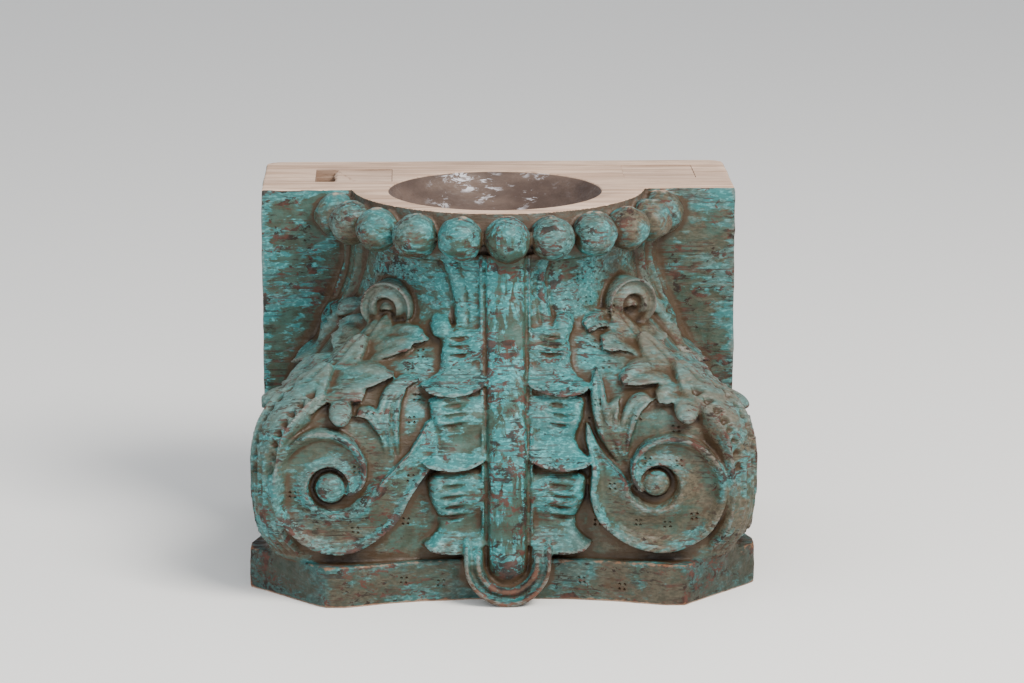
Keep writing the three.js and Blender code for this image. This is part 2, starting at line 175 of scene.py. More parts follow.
def lattice_noise(points: Array, cell: float, seed: int) -> Array:
    """Smooth noise from -1 to 1 on a lattice of random values.

    Args:
        points: Places, n by 3.
        cell: Lattice step, in the places' unit.
        seed: Which lattice.

    Returns:
        One value a place.
    """
    scaled = points / cell + LATTICE_SHIFT
    base = np.floor(scaled).astype(np.int64)
    total = np.zeros(len(points))
    for step, weight in cube_corners(smooth(scaled - base)):
        key = ((base + step) * AXIS_SCRAMBLE).sum(axis=1) + seed * SEED_SCRAMBLE
        key = (key ^ (key >> 13)) * LAST_SCRAMBLE
        value = ((key ^ (key >> 16)) & 0xFFFF) / 32767.5 - 1.0
        total += value * weight
    return total


# Objects, and meshes as plain arrays


def placed(name: str, data: bpy.types.ID) -> bpy.types.Object:
    """A new object, put in the scene."""
    piece = bpy.data.objects.new(name, data)
    bpy.context.scene.collection.objects.link(piece)
    return piece


def mesh_places(mesh: bpy.types.Mesh) -> Array:
    """Every point of a mesh, in millimetres."""
    flat = np.zeros(len(mesh.vertices) * 3)
    mesh.vertices.foreach_get("co", flat)
    return flat.reshape(-1, 3) / MM


@dataclass
class Solid:
    """Closed triangle mesh in millimetres."""

    points: Array
    faces: Array

    def joined(self, other: "Solid") -> "Solid":
        """Both meshes as one, still apart."""
        faces = np.vstack([self.faces, other.faces + len(self.points)])
        return Solid(np.vstack([self.points, other.points]), faces)

    def swapped(self, side: Side) -> "Solid":
        """The same mesh on the side face, swapped over the corner's diagonal."""
        sign = side.value
        x = sign * (AXIS_Y - self.points[:, 1])
        y = AXIS_Y - sign * self.points[:, 0]
        return Solid(np.stack([x, y, self.points[:, 2]], axis=1), self.faces[:, ::-1])

    def ahead_of_slab(self) -> "Solid":
        """The mesh with what would stand behind the slab's front pressed into the slab."""
        points = self.points.copy()
        points[:, 1] = np.minimum(points[:, 1], SLAB_FRONT_Y + 1.0)
        return Solid(points, self.faces)

    def to_object(self, name: str) -> bpy.types.Object:
        """A Blender object of this mesh, in metres, with its faces turned out."""
        mesh = bpy.data.meshes.new(name)
        mesh.from_pydata((self.points * MM).tolist(), [], self.faces.tolist())
        work = bmesh.new()
        work.from_mesh(mesh)
        bmesh.ops.recalc_face_normals(work, faces=work.faces[:])
        work.to_mesh(mesh)
        work.free()
        return placed(name, mesh)


def join_all(solids: Sequence[Solid]) -> Solid:
    """Many meshes as one."""
    whole = solids[0]
    for piece in solids[1:]:
        whole = whole.joined(piece)
    return whole


def ring_skin(rings: Array) -> Solid:
    """Closed skin over a stack of closed rings.

    Args:
        rings: Points, rings by points around by 3.

    Returns:
        The skin, with a fan over both end rings.
    """
    count, around, _ = rings.shape
    points = np.vstack([rings.reshape(-1, 3), rings[0].mean(axis=0), rings[-1].mean(axis=0)])
    index = np.arange(count * around).reshape(count, around)
    after = np.roll(index, -1, axis=1)
    a, b = index[:-1].ravel(), after[:-1].ravel()
    c, d = after[1:].ravel(), index[1:].ravel()
    low, high = count * around, count * around + 1
    fans = [
        np.stack([np.full(around, low), after[0], index[0]], axis=1),
        np.stack([np.full(around, high), index[-1], after[-1]], axis=1),
    ]
    sides = [np.stack([a, b, c], axis=1), np.stack([a, c, d], axis=1)]
    return Solid(points, np.vstack(sides + fans))


def ball(centre: Array, radius: float, squash: Sequence[float] = (1, 1, 1), sides: int = 40) -> Solid:
    """Round ball, or an egg where squash differs by axis."""
    polar = np.linspace(0.02, math.pi - 0.02, sides // 2)
    rings = np.zeros((len(polar), sides, 3))
    rings[:, :, :2] = np.sin(polar)[:, None, None] * circle(sides)
    rings[:, :, 2] = np.cos(polar)[:, None]
    return ring_skin(rings * radius * np.asarray(squash) + np.asarray(centre))


def box(low: Sequence[float], high: Sequence[float]) -> Solid:
    """Plain box between two corners."""
    (x0, y0, z0), (x1, y1, z1) = low, high
    plan = np.array([[x0, y0], [x1, y0], [x1, y1], [x0, y1]])
    return ring_skin(np.stack([at_height(plan, z) for z in (z0, z1)]))


# The bell and what is carved on it


@dataclass(frozen=True)
class Bell:
    """Core of the capital: a round neck that flares to a square with bowed sides and full corners."""

    neck_radius: float = 112.0
    neck_flare: float = 5.0
    neck_flare_run: tuple[float, float] = (240.0, 195.0)
    face: float = 166.0
    corner: float = 166.0
    bow: float = 30.0
    face_pull: float = 72.0
    face_flare: tuple[float, float] = (230.0, 80.0)
    corner_flare: tuple[float, float] = (208.0, 130.0)
    top: float = 254.0
    inset: float = 2.0

    def plan(self, u: Array, z: Array) -> tuple[Array, Array]:
        """Plan point from the axis.

        Args:
            u: 0 at the middle of the face to 1 at the corner.
            z: Height.

        Returns:
            Distance sideways and distance forward.
        """
        angle = u * math.pi / 4
        radius = self.neck_radius + self.neck_flare * ramp(z, *self.neck_flare_run)
        square_x = bezier(0, self.face_pull, self.corner - self.bow, self.corner, u)
        square_y = bezier(self.face, self.face, self.corner + self.bow, self.corner, u)
        on_face = ramp(z, *self.face_flare)
        on_corner = ramp(z, *self.corner_flare)
        flare = on_face + (on_corner - on_face) * smooth(u)
        x = radius * np.sin(angle)
        y = radius * np.cos(angle)
        return x + (square_x - x) * flare, y + (square_y - y) * flare

    def forward(self, aside: Array, up: Array) -> Array:
        """Forward distance of the front face over a grid of places in the front elevation.

        Args:
            aside: Distances from the middle, one a column.
            up: Heights, one a row.

        Returns:
            Rows by columns of forward distances.
        """
        u = np.linspace(0, 1, 160)
        rows = []
        for z in up:
            x, y = self.plan(u, np.full_like(u, z))
            past = x[-1] + y[-1] - aside
            rows.append(np.where(aside > x[-1], past, np.interp(aside, x, y)))
        return np.array(rows)

    def build(self) -> Solid:
        """The bare bell, a little inside its true face, which the carved sheets carry."""
        octant = np.linspace(-2, 2, 200)
        turn = np.abs(octant)
        side = np.sign(octant)
        rings = []
        for z in np.linspace(31.0, self.top, 120):
            aside, ahead = self.plan(np.where(turn <= 1, turn, 2 - turn), np.full_like(turn, z))
            x = side * np.where(turn <= 1, aside, ahead)
            forward = np.where(turn <= 1, ahead, aside)
            scale = 1 - self.inset / np.hypot(x, forward)
            rings.append(np.stack([x * scale, AXIS_Y - forward * scale, np.full_like(x, z)], axis=1))
        return ring_skin(np.array(rings))


@dataclass
class HalfFace:
    """Half of the front elevation as a grid that the carver works on."""

    side: Side
    bell: Bell
    reach: float = 178.0
    top: float = 254.0
    step: float = 0.75
    aside: Array = field(init=False)
    up: Array = field(init=False)
    ground: Array = field(init=False)
    face: Array = field(init=False)

    def __post_init__(self) -> None:
        """Starts the face as bare ground."""
        columns = np.arange(0.0, self.reach + self.step, self.step)
        rows = np.arange(0.0, self.top + self.step, self.step)
        self.aside, self.up = np.meshgrid(columns, rows)
        self.ground = self.bell.forward(columns, rows)
        self.face = self.ground.copy()

    @property
    def from_rib(self) -> Array:
        """Distances from the middle of the rib, which is a little off the middle."""
        return self.aside - self.side.value * RIB_X

    def stand(self, forward: Array, where: Array) -> None:
        """Raises the face to a forward distance where that stands prouder."""
        self.face = np.where(where & (forward > self.face), forward, self.face)


@dataclass(frozen=True)
class Scroll:
    """Dished ribbon with a sharp outer rim, wound from its stem in to a round eye."""

    eye: tuple[float, float]
    turns: tuple[float, ...]
    radii: tuple[float, ...]
    crest_turns: tuple[float, ...]
    crest_radii: tuple[float, ...]
    face: float = 189.0
    stem_lift: float = 9.0
    stem_limit: float = 50.0
    rise: tuple[float, float] = (-30.0, 42.0)
    sink: tuple[float, float] = (20.0, 140.0)
    dishing: tuple[float, float] = (-5.0, 55.0)
    dish: float = 6.2
    dish_share: float = 0.33
    dish_inner: float = 0.55
    dish_outer: float = 0.3
    groove: float = 0.5
    groove_fade: tuple[float, float] = (60.0, 0.0)
    rim: float = 2.6
    crest_drop: float = 1.2
    eye_radius: float = 12.0
    pit: float = 10.0
    pit_wall: float = 0.45
    pit_rise: tuple[float, float] = (-28.0, 17.0)

    def carve(self, half: HalfFace) -> None:
        """Stands the scroll on the face."""
        inward = self.eye[0] - half.aside
        down = self.eye[1] - half.up
        radius = np.hypot(inward, down)
        bearing = np.degrees(np.arctan2(down, inward))
        for lap in (0.0, 360.0):
            turn = bearing + lap
            outer = along(self.turns, self.radii, turn)
            crest = np.minimum(along(self.crest_turns, self.crest_radii, turn), outer - 1.0)
            wound = (turn >= self.turns[0]) & (turn <= self.turns[-1]) & (radius <= outer)
            wound &= half.aside > self.stem_limit
            wide = np.maximum(outer - self.rim - crest, 1.0)
            across = np.clip((radius - crest) / wide, 0, 1)
            risen = ramp(turn, *self.rise)
            plane = half.ground + self.stem_lift + (self.face - half.ground - self.stem_lift) * risen
            sunk = self.crest_drop * ramp(turn, *self.sink) * (1 - across)
            deep = np.minimum(self.dish, self.dish_share * wide)
            deep = deep * (0.5 + 0.5 * ramp(turn, *self.dishing))
            deep = deep * smooth(across / self.dish_inner) ** 0.8 * smooth((1 - across) / self.dish_outer)
            groove = self.groove * np.cos(across * 4 * math.pi) * ramp(turn, *self.groove_fade)
            half.stand(plane - sunk - deep + groove, wound & (radius >= crest))
            wall = self.eye_radius + self.pit_wall * (crest - self.eye_radius)
            rise = smooth((radius - wall) / np.maximum(crest - wall, 0.8))
            pit = self.face - self.pit + (self.pit - self.crest_drop) * rise
            floor = half.ground + (pit - half.ground) * ramp(turn, *self.pit_rise)
            half.stand(floor, wound & (radius < crest) & (turn > self.pit_rise[0]))
        dome = np.sqrt(np.clip(1 - (radius / self.eye_radius) ** 2, 0, 1))
        half.stand(self.face - self.pit + (self.pit + 1.0) * dome**0.8, radius < self.eye_radius)


@dataclass(frozen=True)
class Husk:
    """Lobed sheath beside the rib that ends below in a lifted lip."""

    top: float
    lip: float
    shoulder: float
    waist: float
    tip: float
    inner: float = 16.0
    gouges: int = 3
    bulge: float = 12.5
    hollow: float = 7.5
    lift: float = 17.0
    drop: float = 7.0
    edge: float = 9.0
    gouge_depth: float = 5.0
    gouge_aside: float = 0.55
    gouge_first: float = 0.27
    gouge_pitch: float = 0.135
    gouge_reach: float = 10.5
    lip_edge: float = 1.6

    def gouged(self, half: HalfFace, aside: Array) -> Array:
        """Depth of the short gouges over the husk's belly, as a share of the deepest."""
        depth = np.zeros_like(aside)
        for k in range(self.gouges):
            odd = k % 2
            centre = self.inner + self.gouge_aside * (self.shoulder - self.inner) + 2.0 * odd
            place = self.top - (self.top - self.lip) * (self.gouge_first + self.gouge_pitch * k)
            across = (aside - centre) / (self.gouge_reach + 1.5 * odd)
            line = half.up - place - 1.8 * across**2 + 0.9 * across
            lens = np.clip(1 - across**2, 0, 1)
            depth += hump(line, 0.5 + 1.3 * lens) * lens**0.7
        return depth

    def carve(self, half: HalfFace) -> None:
        """Stands the husk on the face."""
        aside = half.from_rib
        middle = (self.tip + self.inner) / 2
        spread = np.clip((aside - middle) / ((self.tip - self.inner) / 2), -1, 1)
        foot = self.lip - self.drop * (1 - spread**2) + 3.0 * np.maximum(spread - 0.75, 0)
        t = (self.top - half.up) / (self.top - foot)
        edges = [self.shoulder - 16, self.shoulder - 2, self.shoulder, self.waist, self.tip]
        outer = along([0.0, 0.12, 0.32, 0.72, 1.0], edges, t)
        heights = [3.0, self.bulge * 0.8, self.bulge, self.hollow, self.lift]
        height = along([0.0, 0.15, 0.35, 0.72, 1.0], heights, t)
        edge = np.clip((outer - aside) / self.edge, 0, 1)
        root = np.clip((aside - self.inner + 3.0) / 5.0, 0, 1)
        rounding = rounded(edge) * (0.65 + 0.35 * root)
        flutes = 0.6 * np.cos(spread * 10.0) * ramp(t, 0.75, 0.95)
        inside = (t >= 0) & (aside >= self.inner - 3) & (aside <= outer)
        under = ramp(half.up, foot - self.lip_edge, foot)
        rise = (height * rounding - self.gouge_depth * self.gouged(half, aside) + flutes) * under
        half.stand(half.ground + rise, inside & (half.up > foot - self.lip_edge))


@dataclass(frozen=True)
class Rib:
    """Round middle rib between two fillets, from the beads down into the tongue."""

    half_width: float = 19.5
    face: float = 14.2
    top_height: float = 13.0
    foot_height: float = 24.0
    foot: float = 15.0

    def carve(self, half: HalfFace) -> None:
        """Stands the rib and its fillets on the face."""
        aside = np.abs(half.from_rib)
        column = half.ground[:, :1]
        growth = (self.foot_height - self.top_height) * (half.top - half.up) / half.top
        height = self.top_height + growth
        below = np.clip(self.foot + self.face - half.up, 0, None)
        away = np.hypot(aside, below)
        fillet = self.half_width - 1.2
        steps = [0.0, 6.0, 11.0, self.face, self.face + 1.3, self.face + 2.4, fillet, self.half_width]
        faces = [1.0, 0.97, 0.87, 0.72, 0.5, 0.5, 0.66, 0.56]
        waves = 0.5 * np.sin(half.up * 0.21) + 0.4 * np.sin(half.up * 0.13 + 1.0)
        half.stand(column + height * along(steps, faces, away) + waves, away < self.half_width)


@dataclass(frozen=True)
class Stalk:
    """Flat stem beside the rib that comes down from the neck into the top husk."""

    edges: tuple[float, ...]
    heights: tuple[float, ...] = (196.0, 214.0, 232.0, 252.0)
    lift: float = 6.0
    flute: float = 2.6

    def carve(self, half: HalfFace) -> None:
        """Stands the stem on the face, with one line cut down it and one beside it."""
        aside = half.from_rib
        outer = along(self.heights, self.edges, half.up)
        edge = np.clip((outer - aside) / 4.0, 0, 1)
        rise = self.lift * rounded(edge)
        shown = ramp(half.up, self.heights[0], self.heights[0] + 4.0)
        down = hump(aside - 0.74 * outer, 1.3)
        beside = hump(aside - outer - 1.0, 1.5)
        half.stand(half.ground + rise, (aside < outer) & (half.up > self.heights[0]))
        half.face = half.face - self.flute * (down + beside) * shown


@dataclass(frozen=True)
class Tongue:
    """U-shaped tongue that the rib's foot stands in, with a double rim."""

    half_width: float = 33.0
    top: float = 50.0
    floor_face: float = 185.0
    fade: float = 14.0

    def carve(self, half: HalfFace) -> None:
        """Stands the tongue on the face."""
        aside = np.abs(half.from_rib)
        below = np.clip(self.half_width - half.up, 0, None)
        away = np.hypot(aside, below)
        rims = [0.0, 18.5, 20.0, 22.5, 24.5, 27.0, 30.0, self.half_width]
        faces = [0.0, 0.0, 5.5, 7.5, 6.5, 4.0, 10.0, 8.5]
        forward = self.floor_face + along(rims, faces, away)
        sunk = self.fade * ramp(half.up, self.top - self.fade, self.top)
        half.stand(forward - sunk, (away < self.half_width) & (half.up < self.top))


@dataclass(frozen=True)
class Leaf:
    """Lobed leaf on a bent spine, grown out of the ground, its edge thick and its middle hollow."""

    root: tuple[float, float]
    bend: tuple[float, float]
    tip: tuple[float, float]
    width: float
    height: float
    vein: float = 1.6
    blunt: float = 0.15
    hollow: float = 0.22
    sunk_root: float = 0.1
    root_width: float = 0.5

    def spine(self) -> tuple[Array, Array, Array]:
        """Places along the spine: share of the run, point and direction."""
        t = np.linspace(0, 1, 90)
        line = bow(self.root, self.bend, self.tip, t[:, None])
        slope = np.gradient(line, axis=0)
        return t, line, slope / np.linalg.norm(slope, axis=1)[:, None]

    def carve(self, half: HalfFace) -> None:
        """Stands the leaf on the face."""
        t, line, slope = self.spine()
        low = line.min(axis=0) - self.width - 2
        high = line.max(axis=0) + self.width + 2
        near = (half.aside > low[0]) & (half.aside < high[0]) & (half.up > low[1]) & (half.up < high[1])
        places = np.stack([half.aside[near], half.up[near]], axis=1)
        gap = places[:, None, :] - line[None, :, :]
        nearest = np.argmin((gap**2).sum(axis=2), axis=1)
        offset = gap[np.arange(len(places)), nearest]
        run = (offset * slope[nearest]).sum(axis=1)
        lateral = offset[:, 0] * slope[nearest, 1] - offset[:, 1] * slope[nearest, 0]
        at = t[nearest]
        shares = [self.root_width, 1.0, 0.85, 0.5 + self.blunt / 2, self.blunt]
        width = self.width * along([0, 0.4, 0.75, 0.93, 1], shares, at)
        across = np.abs(lateral) / width
        lift = self.height * along([0, 0.3, 0.6, 0.9, 1], [self.sunk_root, 0.6, 0.9, 1.0, 0.85], at)
        crease = self.vein * hump(lateral, 1.3) * ramp(at, 0.95, 0.75)
        edge = np.clip(1 - across**4, 0, 1) ** 0.5
        dished = 1 - self.hollow * hump(across, 0.45) * ramp(at, 0.0, 0.3)
        flutes = 0.4 * np.cos(lateral * 1.9 + at * 5.0)
        rise = lift * edge * dished - crease + flutes * lift / self.height
        forward = np.full(half.face.shape, -1.0)
        forward[near] = half.ground[near] + rise
        inside = np.zeros(half.face.shape, bool)
        inside[near] = (across < 1) & (np.abs(run) < 1.8)
        half.stand(forward, inside)


@dataclass(frozen=True)
class Boss:
    """Round bud or knob on the face."""

    place: tuple[float, float]
    radius: float
    lift: float
    notch: float = 0.0

    def carve(self, half: HalfFace) -> None:
        """Stands the boss on the face, with a short cut over it where it has one."""
        away = np.hypot(half.aside - self.place[0], half.up - self.place[1])
        dome = np.sqrt(np.clip(self.radius**2 - away**2, 0, None))
        cut = self.notch * hump(half.up - self.place[1] + 2.0, 1.2)
        half.stand(half.ground + self.lift + dome - cut, away < self.radius)


@dataclass(frozen=True)
class Curl:
    """Tip of the corner leaf, rolled over below the beads: sharp ridges round a small ball."""

    side: Side
    place: tuple[float, float]
    forward: float
    turned: float = 22.0
    size: float = 21.5
    height: float = 9.0
    deep: float = 20.0
    wind: float = 0.045
    low_side: float = 0.35
    ridge_steps: tuple[float, ...] = (0.0, 0.16, 0.27, 0.33, 0.46, 0.52, 0.72, 0.78, 0.9, 0.96, 1.0)
    ridge_faces: tuple[float, ...] = (0.78, 0.7, 0.48, 0.44, 1.0, 0.95, 0.6, 0.54, 1.0, 0.85, 0.3)

    def build(self) -> Solid:
        """The roll as a closed round."""
        turn = np.linspace(0, 2 * math.pi, 120, endpoint=False)
        share = np.linspace(0.02, 1.0, 60)
        wound = share[:, None] - self.wind * np.sin(turn)[None, :] * share[:, None]
        full = self.low_side + (1 - self.low_side) * ramp(np.sin(turn), -0.95, -0.05)[None, :]
        rise = self.height * along(self.ridge_steps, self.ridge_faces, wound) * full
        across = self.size * share[:, None] * np.cos(turn)[None, :]
        up = self.place[1] + self.size * share[:, None] * np.sin(turn)[None, :]
        front = np.stack([across, rise, up], axis=2)
        back = front[-1:].copy()
        back[:, :, 1] = -self.deep
        rings = np.concatenate([front, back])
        lean = math.radians(self.turned)
        aside = self.place[0] + rings[:, :, 0] * math.cos(lean) + rings[:, :, 1] * math.sin(lean)
        forward = self.forward - rings[:, :, 0] * math.sin(lean) + rings[:, :, 1] * math.cos(lean)
        return ring_skin(np.stack([self.side.value * aside, AXIS_Y - forward, rings[:, :, 2]], axis=2))


@dataclass(frozen=True)
class FaceCarving:
    """All ornament of the bell's faces, each half with its own hand-carved places."""

    bell: Bell
    hidden: float = 58.0
    overlap: float = 10.0
    plate: float = 31.0
    foot_reach: float = 60.0
    flank_root: float = 24.0
    flank_ease: tuple[float, float] = (116.0, 146.0)
    hind_curl: tuple[float, float] = (38.0, 207.0)
    hind_forward: float = 97.0
    hind_size: float = 16.0
    flank_face: dict[Side, float] = field(default_factory=lambda: {Side.LEFT: 183.0, Side.RIGHT: 189.0})
    flank_lift: dict[Side, float] = field(default_factory=lambda: {Side.LEFT: 5.0, Side.RIGHT: 15.0})
    husks: tuple[Husk, ...] = (
        Husk(top=203, lip=161, shoulder=49, waist=52, tip=65, gouges=3),
        Husk(top=160, lip=109, shoulder=58, waist=53, tip=66),
        Husk(top=105, lip=45, shoulder=59, waist=52, tip=64, gouges=4),
    )
    scrolls: dict[Side, Scroll] = field(default_factory=lambda: {
        Side.LEFT: Scroll(
            eye=EYES[Side.LEFT],
            turns=(-32, -8, 35, 80, 140, 200, 260, 310, 350, 388),
            radii=(118, 74, 55, 52, 46, 45, 45, 36, 27, 13),
            crest_turns=(-32, -14, 13, 56, 90, 180, 270, 330, 388),
            crest_radii=(84, 46, 32, 24, 20, 18, 17, 14.5, 12.5),
        ),
        Side.RIGHT: Scroll(
            eye=EYES[Side.RIGHT],
            turns=(-39, -16, 15, 30, 60, 110, 140, 185, 225, 280, 340, 395),
            radii=(66, 50, 50, 51, 51, 55, 56, 53, 44, 32, 20, 12),
            crest_turns=(-39, -23, 26, 71, 160, 218, 262, 312, 395),
            crest_radii=(63, 35, 22, 20.6, 20.5, 17, 15, 12.3, 11),
            eye_radius=10.8,
            dish=8.0,
        ),
    })
    leaves: dict[Side, tuple[Leaf, ...]] = field(default_factory=lambda: {
        Side.LEFT: (
            Leaf((140, 160), (118, 188), (98, 196), 13, 5, blunt=0.6, hollow=0.1),
            Leaf((103, 177), (80, 198), (58, 190), 7.0, 11, hollow=0.3, vein=2.0),
            Leaf((104, 176), (83, 187), (70, 186), 6.0, 12, blunt=0.5),
            Leaf(
                (170, 116), (161, 170), (84, 168), 10.5, 14,
                hollow=0.35, sunk_root=0.45, root_width=0.2,
            ),
            Leaf((140, 158), (124, 165), (106, 156), 7.5, 13, blunt=0.6),
            Leaf((110, 184), (98, 200), (86, 200), 7, 7, blunt=0.5),
            Leaf((124, 190), (122, 204), (108, 207), 9, 10, blunt=0.6),
            Leaf((160, 142), (150, 147), (141, 150), 5.5, 11, blunt=0.6, vein=0.0, hollow=0.0),
            Leaf((86, 112), (100, 164), (66, 164), 5.5, 11, vein=2.2),
            Leaf((80, 108), (91, 153), (73, 162), 6.5, 11, vein=2.8),
            Leaf((84, 112), (96, 153), (110, 143), 5.0, 9, vein=1.6),
        ),
        Side.RIGHT: (
            Leaf((150, 158), (134, 184), (120, 194), 12, 5, blunt=0.6, hollow=0.1),
            Leaf((106, 187), (80, 207), (65, 197), 6.8, 11, blunt=0.75, hollow=0.35),
            Leaf((127, 171), (101, 189), (77, 186), 7.2, 12, blunt=0.65, hollow=0.3),
            Leaf(
                (169, 107), (148, 188), (90, 164), 10.0, 14,
                blunt=0.4, hollow=0.35, sunk_root=0.45, root_width=0.2,
            ),
            Leaf((148, 152), (134, 161), (116, 154), 7.5, 13, blunt=0.6),
            Leaf((134, 186), (130, 202), (114, 206), 9, 10, blunt=0.6),
            Leaf((89, 106), (69, 134), (70, 170), 7.0, 11, vein=2.6),
            Leaf((89, 106), (73, 136), (85, 151), 6.0, 10, vein=2.4),
            Leaf((89, 106), (89, 154), (110, 152), 6.5, 10, vein=2.4),
        ),
    })
    bosses: dict[Side, tuple[Boss, ...]] = field(default_factory=lambda: {
        Side.LEFT: (Boss((122, 146), 9, 9), Boss((47, 199), 8, 4, notch=1.5)),
        Side.RIGHT: (Boss((136, 147), 9.5, 9), Boss((46, 199), 8.5, 4, notch=1.5)),
    })
    curls: tuple[Curl, ...] = (
        Curl(Side.LEFT, CURLS[Side.LEFT], forward=89.0, turned=22.0),
        Curl(Side.RIGHT, CURLS[Side.RIGHT], forward=81.0, turned=25.0),
    )
    stalks: dict[Side, Stalk] = field(default_factory=lambda: {
        Side.LEFT: Stalk((38, 39, 42, 50)),
        Side.RIGHT: Stalk((38, 34, 31, 36)),
    })

    def half(self, side: Side) -> HalfFace:
        """One half of the front, carved in the order that things overlap."""
        half = HalfFace(side, self.bell)
        for work in (
            self.stalks[side],
            self.scrolls[side],
            *self.leaves[side],
            *self.bosses[side],
            *reversed(self.husks),
            Tongue(),
            Rib(),
        ):
            work.carve(half)
        return half

    def wedge(self, aside: Array, face: Array, reach: float) -> tuple[Array, Array, Array]:
        """One row of a half face, kept inside its own quarter of the plan.

        Args:
            aside: Distances from the middle, rising.
            face: Forward distance of the carved face at each.
            reach: Greatest distance from the middle.

        Returns:
            Distances from the middle, carved face and hidden back, held still past the corner.
        """
        back = np.maximum(self.hidden, aside - self.overlap)
        solid = (face > back + 2.0) & (aside < reach)
        last = len(solid) - 1 if solid.all() else max(int(np.argmin(solid)) - 1, 0)
        keep = np.minimum(np.arange(len(aside)), last)
        return aside[keep], face[keep], np.minimum(back, face - 2.0)[keep]

    def sheet(self, halves: Sequence[tuple[Side, Array, Array]], up: Array) -> Solid:
        """Closed sheet with a carved front.

        Args:
            halves: Side, distances from the middle and carved face of each half, left before right.
            up: Height of each row.

        Returns:
            The sheet as one skin.
        """
        rows = []
        for k, z in enumerate(up):
            runs = []
            for side, aside, face in halves:
                reach = math.inf if z > self.plate else self.foot_reach
                x, front, back = self.wedge(aside, face[k], reach)
                run = np.stack([side.value * x, front, back], axis=1)
                runs.append(run[::-1] if side is Side.LEFT else run)
            row = np.vstack(runs)
            x = np.concatenate([row[:, 0], row[::-1, 0]])
            ahead = np.concatenate([row[:, 1], row[::-1, 2]])
            rows.append(np.stack([x, AXIS_Y - ahead, np.full_like(x, z)], axis=1))
        return ring_skin(np.array(rows))

    def build(self) -> list[Solid]:
        """The carved front, and its two halves again on the side faces."""
        halves = {side: self.half(side) for side in Side}
        runs = [(side, half.aside[0], half.face) for side, half in halves.items()]
        up = halves[Side.RIGHT].up[:, 0]
        solids = [self.sheet(runs, up)]
        for side, aside, face in runs:
            keep = aside >= AXIS_Y - SLAB_FRONT_Y - 1.0
            rows = up >= self.plate
            eased = ramp(aside[keep], *self.flank_ease)
            lift = self.flank_root + (self.flank_lift[side] - self.flank_root) * eased
            flank_face = np.minimum(face[rows][:, keep], halves[side].ground[rows][:, keep] + lift)
            flank_face = np.minimum(flank_face, self.flank_face[side])
            flank = self.sheet([(side, aside[keep], flank_face)], up[rows])
            solids.append(flank.swapped(side).ahead_of_slab())
        for curl in self.curls:
            hind = Curl(curl.side, self.hind_curl, self.hind_forward, size=self.hind_size)
            solids += [curl.build(), hind.build().swapped(curl.side)]
        return solids


